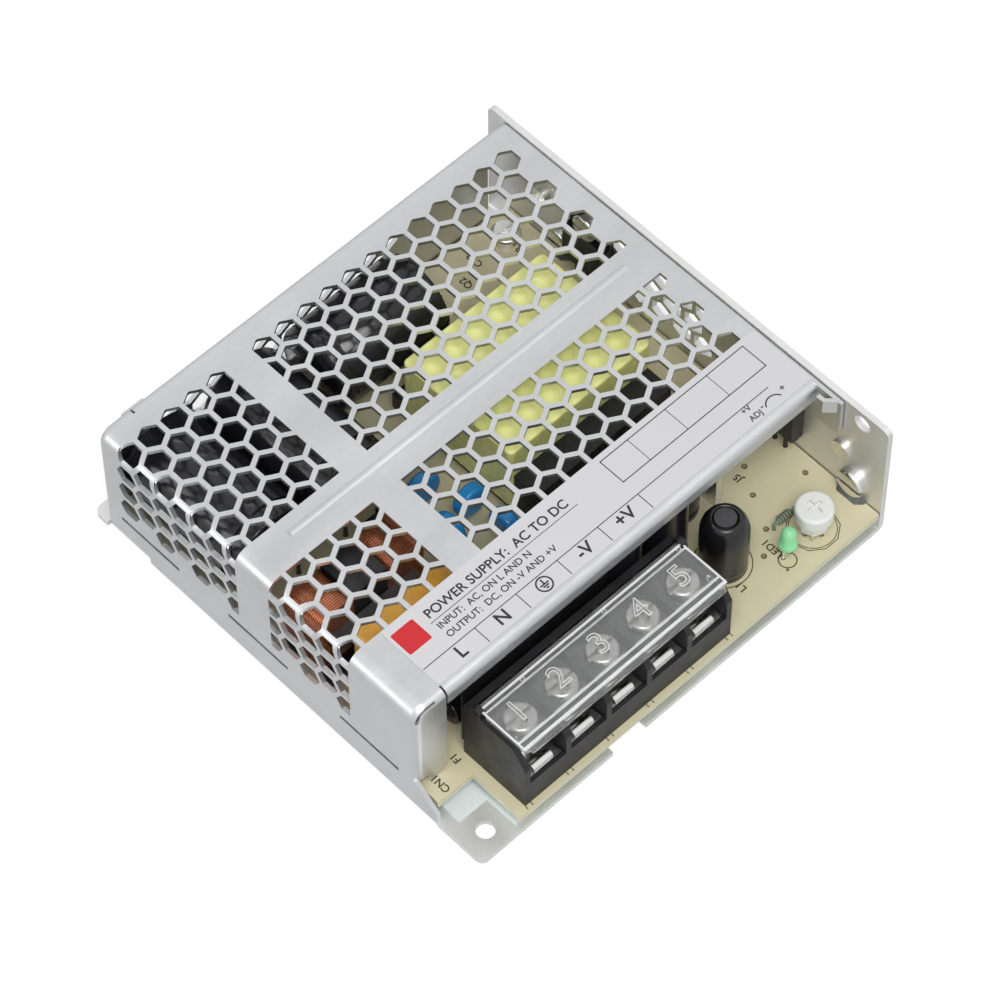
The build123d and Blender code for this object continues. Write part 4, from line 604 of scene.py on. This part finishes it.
def add_ring(shape, centre, inner, outer, z_range, sweep=2 * pi, start=0.0, steps=40):
    """A flat ring or arc: a small upright face, spun about the centre."""
    middle = Vector((*centre, 0))
    profile = bmesh.ops.create_grid(shape, x_segments=1, y_segments=1, size=0.5)["verts"]
    sized = Matrix.Diagonal((outer - inner, z_range[1] - z_range[0], 1, 1))
    place = (Matrix.Translation(middle) @ Matrix.Rotation(start, 4, "Z")
             @ Matrix.Translation(((inner + outer) / 2, 0, sum(z_range) / 2))
             @ Matrix.Rotation(pi / 2, 4, "X") @ sized)
    bmesh.ops.transform(shape, matrix=place, verts=profile)
    faces = list({face for vert in profile for face in vert.link_faces})
    edges = list({edge for vert in profile for edge in vert.link_edges})
    whole = sweep > 6.28
    bmesh.ops.spin(shape, geom=profile + edges + faces, cent=middle, axis=(0, 0, 1), angle=sweep,
                   steps=steps, use_merge=whole)


# %% [markdown]
# ## Lettering
# Print is thinner than paint, so letters are text curves with a hair of thickness. The curve becomes
# a mesh before it is placed, and the letters of one sheet are joined into one piece. Only plain
# marks that any such part has are written: what each terminal is, and which side is in or out.

# %% Write the lettering helper
def add_text(shape, words, tall, place, **settings):
    """Adds a text curve, made a mesh, whose capitals are that tall in millimetres."""
    curve = bpy.data.curves.new("words", "FONT")
    curve.body = words
    curve.size = tall / 0.70
    curve.resolution_u = 4
    curve.align_x = "CENTER"
    curve.align_y = "CENTER"
    for setting, value in settings.items():
        setattr(curve, setting, value)
    holder = bpy.data.objects.new("words", curve)
    bpy.context.scene.collection.objects.link(holder)
    bpy.context.view_layer.update()
    flat = bpy.data.meshes.new_from_object(holder)
    flat.transform(place)
    shape.from_mesh(flat)
    bpy.data.objects.remove(holder)
    bpy.data.curves.remove(curve)
    bpy.data.meshes.remove(flat)


def add_words(shape, words, tall, x, y, z, bold=0.0, turn=0.0, start="CENTER"):
    """Adds printed text, centred on a place or starting there."""
    thick = 0.02
    place = Matrix.Translation((x, y, z + thick / 2)) @ Matrix.Rotation(turn, 4, "Z")
    add_text(shape, words, tall, place, offset=bold, extrude=thick / 2, align_x=start)


# %% [markdown]
# ## The label's print
# Black ink on the vinyl: a long rule with ticks divides the five terminals, each with its mark, and
# an arc over the trimmer shows which way turns the voltage up. The maker's place carries a plain red
# patch, and the place of the approval marks is a row of empty boxes.

# %% Print the label
label_top = 29.5
black_ink = finish("label_ink", paint(34, 34, 38), grain=0.25, contrast=0.08, rough=(0.35, 0.5),
                   relief=0.05)[0]
red_ink = finish("label_red_ink", paint(205, 38, 46), grain=0.3, contrast=0.05, rough=(0.3, 0.45),
                 relief=0.05)[0]
ink = (label_top - 0.01, label_top + 0.02)
way_pitch = 9.5
first_way_x = -34.1

label_print = bmesh.new()
for way, mark in enumerate(("L", "N", None, "-V", "+V")):
    if mark:
        add_words(label_print, mark, 2.4, first_way_x + way_pitch * way, -29.4, label_top, bold=0.07)
earth_x, earth_y = first_way_x + 2 * way_pitch, -29.5
add_ring(label_print, (earth_x, earth_y), 1.3, 1.6, ink)
add_bar(label_print, (earth_x - 0.15, earth_x + 0.15), (earth_y, earth_y + 1.1), ink)
for half_width, drop in ((0.95, 0.0), (0.62, 0.42), (0.3, 0.84)):
    add_bar(label_print, (earth_x - half_width, earth_x + half_width),
            (earth_y - drop - 0.14, earth_y - drop + 0.14), ink)
add_bar(label_print, (-41.0, 40.0), (-27.68, -27.52), ink)
for tick in range(5):
    tick_x = -29.4 + way_pitch * tick
    add_bar(label_print, (tick_x - 0.08, tick_x + 0.08), (-31.3, -27.6), ink)
add_bar(label_print, (-34.0, 0.0), (-22.06, -21.94), ink)
print("terminal marks stand", way_pitch, "mm apart")

# %% [markdown]
# The rest of the label is its words and the trimmer's arc. The arc is the same spun face as a ring,
# stopped after part of a turn.

# %% Print the words and the arc
add_words(label_print, "POWER SUPPLY:  AC TO DC", 1.8, -33.6, -20.4, label_top, bold=0.04, start="LEFT")
add_words(label_print, "INPUT:  AC, ON L AND N", 1.3, -33.6, -23.4, label_top, bold=0.02, start="LEFT")
add_words(label_print, "OUTPUT:  DC, ON -V AND +V", 1.3, -33.6, -25.6, label_top, bold=0.02, start="LEFT")
add_words(label_print, "+V", 1.15, 33.9, -28.3, label_top, bold=0.02)
add_words(label_print, "ADJ", 1.15, 34.3, -30.3, label_top, bold=0.02)
add_ring(label_print, (38.6, -31.2), 1.9, 2.15, ink, sweep=radians(130), start=radians(25), steps=16)
add_words(label_print, "+", 1.3, 41.6, -29.4, label_top, bold=0.03)
add_words(label_print, "-", 1.3, 36.3, -29.6, label_top, bold=0.03)
keep_piece("label_print", label_print, black_ink, "housing")

red_patch = bmesh.new()
add_bar(red_patch, (-40.6, -35.6), (-24.1, -19.1), ink)
upright = [edge for edge in red_patch.edges if abs(edge.verts[0].co.z - edge.verts[1].co.z) > 0.01]
bmesh.ops.bevel(red_patch, geom=upright, offset=0.35, offset_type="OFFSET", segments=6, profile=0.5,
                affect="EDGES", material=-1)
keep_piece("label_red_patch", red_patch, red_ink, "housing")

# %% [markdown]
# The empty boxes are ruled: four bars of ink a fifth of a millimetre wide make the frame, and three
# thinner ones divide it.

# %% Print the empty boxes
empty_boxes = bmesh.new()
box_width, box_depth = (8.5, 43.0), (-24.3, -18.5)
for x_range, y_range in ((box_width, (-24.3, -24.12)), (box_width, (-18.68, -18.5)),
                         ((8.5, 8.68), box_depth), ((42.82, 43.0), box_depth)):
    add_bar(empty_boxes, x_range, y_range, ink)
for divider in (15.0, 24.0, 34.0):
    add_bar(empty_boxes, (divider, divider + 0.12), box_depth, ink)
keep_piece("label_empty_boxes", empty_boxes, black_ink, "housing")

# %% [markdown]
# ## The board's print
# A board carries brown-black marks that help whoever fills it: an outline round each part and its
# short designator. They are rings, bars and letters lying on the varnish.

# %% Print the board
board_top = 5.6
trimmer_x, trimmer_y = 36.89, -42.84
choke_x, choke_y = 20.55, -37.06
board_ink = finish("board_ink", paint(70, 62, 48), grain=0.2, contrast=0.10, rough=(0.4, 0.6),
                   relief=0.05)[0]
drawn_on = (board_top - 0.01, board_top + 0.02)
board_print = bmesh.new()
add_ring(board_print, (29.0, -44.45), 1.5, 1.72, drawn_on)
arrow_place = Matrix.Translation((27.55, -45.85, board_top + 0.02)) @ Matrix.Rotation(radians(-45), 4, "Z")
bmesh.ops.create_circle(board_print, cap_ends=True, segments=3, radius=0.42, matrix=arrow_place)
add_ring(board_print, (trimmer_x, trimmer_y), 4.75, 4.93, drawn_on, steps=10)
add_ring(board_print, (trimmer_x, trimmer_y), 4.2, 4.36, drawn_on, steps=40)
add_ring(board_print, (choke_x, choke_y), 5.1, 5.3, drawn_on)
designators = (("LED1", 28.8, -41.0), ("J5", 34.9, -26.6), ("L1", 19.3, -42.7), ("R1", 41.9, 36.0),
               ("Q2", 29.8, 36.6), ("C12", 34.4, 39.2), ("R9", 24.2, 38.4), ("F1", -39.4, -33.2),
               ("CN1", -44.6, -35.0))
for mark, mark_x, mark_y in designators:
    add_words(board_print, mark, 1.4, mark_x, mark_y, board_top, turn=radians(90), bold=0.04)
for barrier in range(6):
    barrier_x = -36.85 + way_pitch * barrier
    add_bar(board_print, (barrier_x - 0.7, barrier_x - 0.5), (-48.7, -48.05), drawn_on)
    add_bar(board_print, (barrier_x + 0.5, barrier_x + 0.7), (-48.7, -48.05), drawn_on)
keep_piece("board_print", board_print, board_ink, "housing")

# %% [markdown]
# ## Solder eyes
# A hole that carries no part still has a copper eye, brown with flux. It is a flat ring around the
# drilled hole.

# %% Ring the spare holes
flux = finish("fluxed_copper", paint(112, 96, 58), grain=0.2, contrast=0.15, rough=(0.25, 0.45),
              relief=0.2)[0]
solder_eyes = bmesh.new()
for eye in ((37.46, -25.69), (34.25, -30.91), (30.85, -37.44), (26.59, -41.07), (44.17, -33.99)):
    add_ring(solder_eyes, eye, 0.36, 0.56, drawn_on, steps=20)
keep_piece("solder_eyes", solder_eyes, flux, "housing")

# %% [markdown]
# ## Raised digits on the flap
# The digits on the clear flap are moulded outlines, about 4 mm tall. A text curve with no fill and a
# round bevel gives exactly that: a thin bead along every outline, half sunk in the sheet. The beads
# are a whiter, less clear plastic than the flap, so their white is a painted highlight on the edges.

# %% Mould the digits
flap_top = 22.0
digit_beads = bmesh.new()
for digit in range(5):
    digit_place = Matrix.Translation((-32.3 + way_pitch * digit, -40.9, flap_top))
    add_text(digit_beads, str(digit + 1), 4.2, digit_place, fill_mode="NONE", bevel_depth=0.11,
             bevel_resolution=1)
# A whiter, less clear plastic than the flap: the beads' white is a painted highlight.
highlight_white_plastic = finish("painted_highlight_bead_plastic", (0.95, 0.95, 0.95), grain=0.5, contrast=0.01,
                      rough=(0.10, 0.18), relief=0.05, Transmission_Weight=0.22, IOR=1.5)[0]
keep_piece("flap_digits", digit_beads, highlight_white_plastic, "terminal_flap")

# %% [markdown]
# ## The flap's rims
# The flap's own edges and ribs catch the light as white lines. Each line is a bead less than two
# tenths of a millimetre high, set a hair into the CAD solid, with its upper edges rounded. Three small
# rings in the rear strip are the marks of the mould's ejector pins. Beads and rings are a whiter, less
# clear plastic than the flap, so their white is a painted highlight.

# %% Bead the rims
flap_low, flap_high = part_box("terminal_cover")
left_rim, right_rim = 1000 * flap_low.x + 0.25, 1000 * flap_high.x - 0.25
rim_foot = flap_top - 0.02
rims = bmesh.new()
for rim_y, half in ((-36.45, 0.22), (-37.5, 0.13), (-45.5, 0.18), (-46.95, 0.32)):
    add_bar(rims, (left_rim, right_rim), (rim_y - half, rim_y + half), (rim_foot, flap_top + 0.16))
for rim_x in (left_rim + 0.1, right_rim - 0.1):
    add_bar(rims, (rim_x - 0.2, rim_x + 0.2), (-47.0, -36.4), (rim_foot, flap_top + 0.12))
upper = [edge for edge in rims.edges if min(vert.co.z for vert in edge.verts) > flap_top + 0.1]
bmesh.ops.bevel(rims, geom=upper, offset=0.08, offset_type="OFFSET", segments=2, profile=0.5,
                affect="EDGES", material=-1)
pin_marks = (rim_foot, flap_top + 0.06)
for pin_x in (-27.4, -8.4, 10.0):
    add_ring(rims, (min(pin_x, right_rim - 1.2), -36.98), 0.32, 0.44, pin_marks, steps=16)
keep_piece("flap_rims", rims, highlight_white_plastic, "terminal_flap")
print("rims run from", round(left_rim, 1), "to", round(right_rim, 1), "mm")

# %% [markdown]
# ## Wire turns
# The line choke's copper is wound in single turns side by side. A turn is a thin ring: a small
# circle spun once around the leg, then stretched into the leg's rounded oblong by moving its left
# and right halves apart, and its top and bottom halves too.

# %% Wind the line choke
wire_radius = 0.23
corner_radius = 2.5
straight_x, straight_z = 4.0 - corner_radius, 8.0 - corner_radius
first_turn_y, turn_pitch, leg_middle_z = -6.03, 0.456, 15.4
turns = bmesh.new()
for leg_x in (-41.04, -25.04):
    for count in range(19):
        y = first_turn_y + turn_pitch * count
        ring = bmesh.ops.create_circle(turns, segments=6, radius=wire_radius,
                                       matrix=Matrix.Translation((corner_radius, 0, 0)))["verts"]
        ring_edges = list({edge for vert in ring for edge in vert.link_edges})
        before = set(turns.verts) - set(ring)
        bmesh.ops.spin(turns, geom=ring + ring_edges, cent=(0, 0, 0), axis=(0, 1, 0), angle=2 * pi,
                       steps=24, use_merge=True)
        wound = [vert for vert in turns.verts if vert not in before]
        for vert in wound:
            vert.co.x += straight_x if vert.co.x > 0 else -straight_x
            vert.co.z += straight_z if vert.co.z > 0 else -straight_z
        bmesh.ops.translate(turns, vec=(leg_x, y, leg_middle_z), verts=wound)
bmesh.ops.recalc_face_normals(turns, faces=turns.faces)
keep_piece("line_choke_turns", turns, enamel_copper, "housing")

# %% [markdown]
# ## Turned shapes
# Cans, lamps and sleeves are round, so one line of points, half of the outline, is enough: joined
# by edges and spun once around its axis, it becomes the whole. The ends of the line lie on the axis,
# where the copies meet and are merged, and the normals are then made to point outwards.

# %% Write the turning helper
def turned(shape, outline, foot, axis, steps=40):
    """Spins (distance along the axis, radius) points around an axis that starts at the foot."""
    axis, foot = Vector(axis), Vector(foot)
    side = axis.orthogonal().normalized()
    points = [shape.verts.new(foot + axis * along + side * radius) for along, radius in outline]
    line = [shape.edges.new(pair) for pair in zip(points, points[1:])]
    bmesh.ops.spin(shape, geom=points + line, cent=foot, axis=axis, angle=2 * pi, steps=steps,
                   use_merge=True)
    bmesh.ops.remove_doubles(shape, verts=shape.verts, dist=0.001)
    bmesh.ops.recalc_face_normals(shape, faces=shape.faces)
    for face in shape.faces:
        face.smooth = True


# %% [markdown]
# ## The rear can
# A third bulk can lies across the rear, beside the transformer, with its axis along the width. It
# has the rolled groove near its lead end and a sunk vented end, and the sleeve curls over the rim.
# It is held just clear of the board screw that it lies over.

# %% Turn the rear can
rear_can_y, rear_can_z, rear_can_radius = 35.5, 16.4, 8.7
rear_can = bmesh.new()
turned(rear_can, ((0, 0), (0, 7.6), (0.5, 8.3), (1.2, 8.7), (3.0, 8.7), (3.5, 8.3), (4.0, 8.7),
                  (24.2, 8.7), (24.8, 8.5), (25.0, 8.0), (24.9, 7.3), (24.5, 7.0), (24.5, 0)),
       (-8.0, rear_can_y, rear_can_z), (1, 0, 0), steps=48)
rear_can_sleeve = sleeve_finish("rear_can_sleeve", (4.5 * mm, rear_can_y * mm, rear_can_z * mm),
                                rear_can_radius * mm, along_x, 0.4, (0.10, 1, 1))
keep_piece("bulk_capacitor_3", rear_can, rear_can_sleeve, "housing")

# %% [markdown]
# ## A black card for the shade behind the block
# Close behind the terminal block all is black, and what stands there can't be made out. That black
# is shade, and it is painted with a black card: a plate with rounded top corners, so only the two
# short edges at its top ends are bevelled.

# %% Stand up the card
card_top = 21.8
card = bmesh.new()
add_bar(card, (-36.0, -2.2), (-31.5, -31.1), (board_top, card_top))
corners = [edge for edge in card.edges if min(vert.co.z for vert in edge.verts) > card_top - 0.1
           and abs(edge.verts[0].co.y - edge.verts[1].co.y) > 0.1]
bmesh.ops.bevel(card, geom=corners, offset=1.2, offset_type="OFFSET", segments=5, profile=0.5,
                affect="EDGES", material=-1)
# The card is painted shade: black nylon where the gap behind the block lies in shade.
keep_piece("painted_shade_card", card, bobbin_nylon, "housing")

# %% [markdown]
# ## The choke's sleeve
# The output choke is shrunk into a black sleeve that bulges at the middle and draws in over the
# shoulder to a rolled opening, where the grey end of the ferrite shows. It takes the place of the
# straight CAD sleeve.

# %% Turn the choke's sleeve
choke_sleeve = bmesh.new()
turned(choke_sleeve, ((0.0, 4.2), (0.0, 4.42), (2.0, 4.34), (5.0, 4.5), (9.0, 4.5), (11.0, 4.42),
                      (12.4, 4.1), (13.4, 3.6), (14.1, 3.1), (14.4, 2.7), (14.3, 2.35), (13.8, 2.15),
                      (12.6, 2.1)), (choke_x, choke_y, board_top), (0, 0, 1), steps=48)
choke_piece = keep_piece("choke_sleeve", choke_sleeve, shrink, "housing")
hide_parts("output_choke_sleeve")

# %% [markdown]
# ## The lamp
# A small signal lamp is cast in one piece: a flange, a round body and a dome. It stands on its two
# legs above the board, and takes the place of the plain CAD lens.

# %% Turn the lamp
lamp_low, lamp_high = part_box("led_lens")
lamp_x, lamp_y = 500 * (lamp_low.x + lamp_high.x), 500 * (lamp_low.y + lamp_high.y)
lamp_foot = 1000 * lamp_low.z + 0.5
lamp = bmesh.new()
turned(lamp, ((0, 0), (0, 1.6), (0.12, 1.7), (0.75, 1.7), (0.9, 1.6), (1.0, 1.46), (3.5, 1.42),
              (4.15, 1.26), (4.65, 0.9), (4.88, 0.5), (4.95, 0)), (lamp_x, lamp_y, lamp_foot),
       (0, 0, 1), steps=32)
lamp_piece = keep_piece("lamp_lens", lamp, lamp_epoxy, "housing")
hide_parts("led_lens")
leads_low, leads_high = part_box("led_leads")
lamp_legs = bmesh.new()
for leg_x in (1000 * leads_low.x + 0.25, 1000 * leads_high.x - 0.25):
    turned(lamp_legs, ((0, 0), (0, 0.25), (5.0, 0.25), (5.0, 0)), (leg_x, lamp_y, board_top),
           (0, 0, 1), steps=8)
keep_piece("lamp_legs", lamp_legs, plated, "housing")
print("lamp stands at", round(lamp_x, 2), round(lamp_y, 2))

# %% [markdown]
# ## The trimmer's base
# Under the knob the trimmer is an eight-sided moulding, narrower than the knob, that stands on thin
# legs. Spinning its outline in only eight steps gives the eight flat sides, so here the faces stay
# flat. It takes the place of the square CAD body.

# %% Turn the trimmer's base
trimmer_base = bmesh.new()
turned(trimmer_base, ((0, 0), (0, 2.7), (0.3, 2.95), (2.5, 3.05), (2.8, 2.9), (2.8, 0)),
       (trimmer_x, trimmer_y, 6.9), (0, 0, 1), steps=8)
for face in trimmer_base.faces:
    face.smooth = False
base_piece = keep_piece("trimmer_base", trimmer_base, white_nylon, "housing")
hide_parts("trimmer_body")
trimmer_legs = bmesh.new()
for leg_x, leg_y in ((-1.9, -1.6), (1.9, -1.6), (0.0, 1.9)):
    turned(trimmer_legs, ((0, 0), (0, 0.28), (1.5, 0.28), (1.5, 0)),
           (trimmer_x + leg_x, trimmer_y + leg_y, 5.55), (0, 0, 1), steps=8)
keep_piece("trimmer_legs", trimmer_legs, plated, "housing")
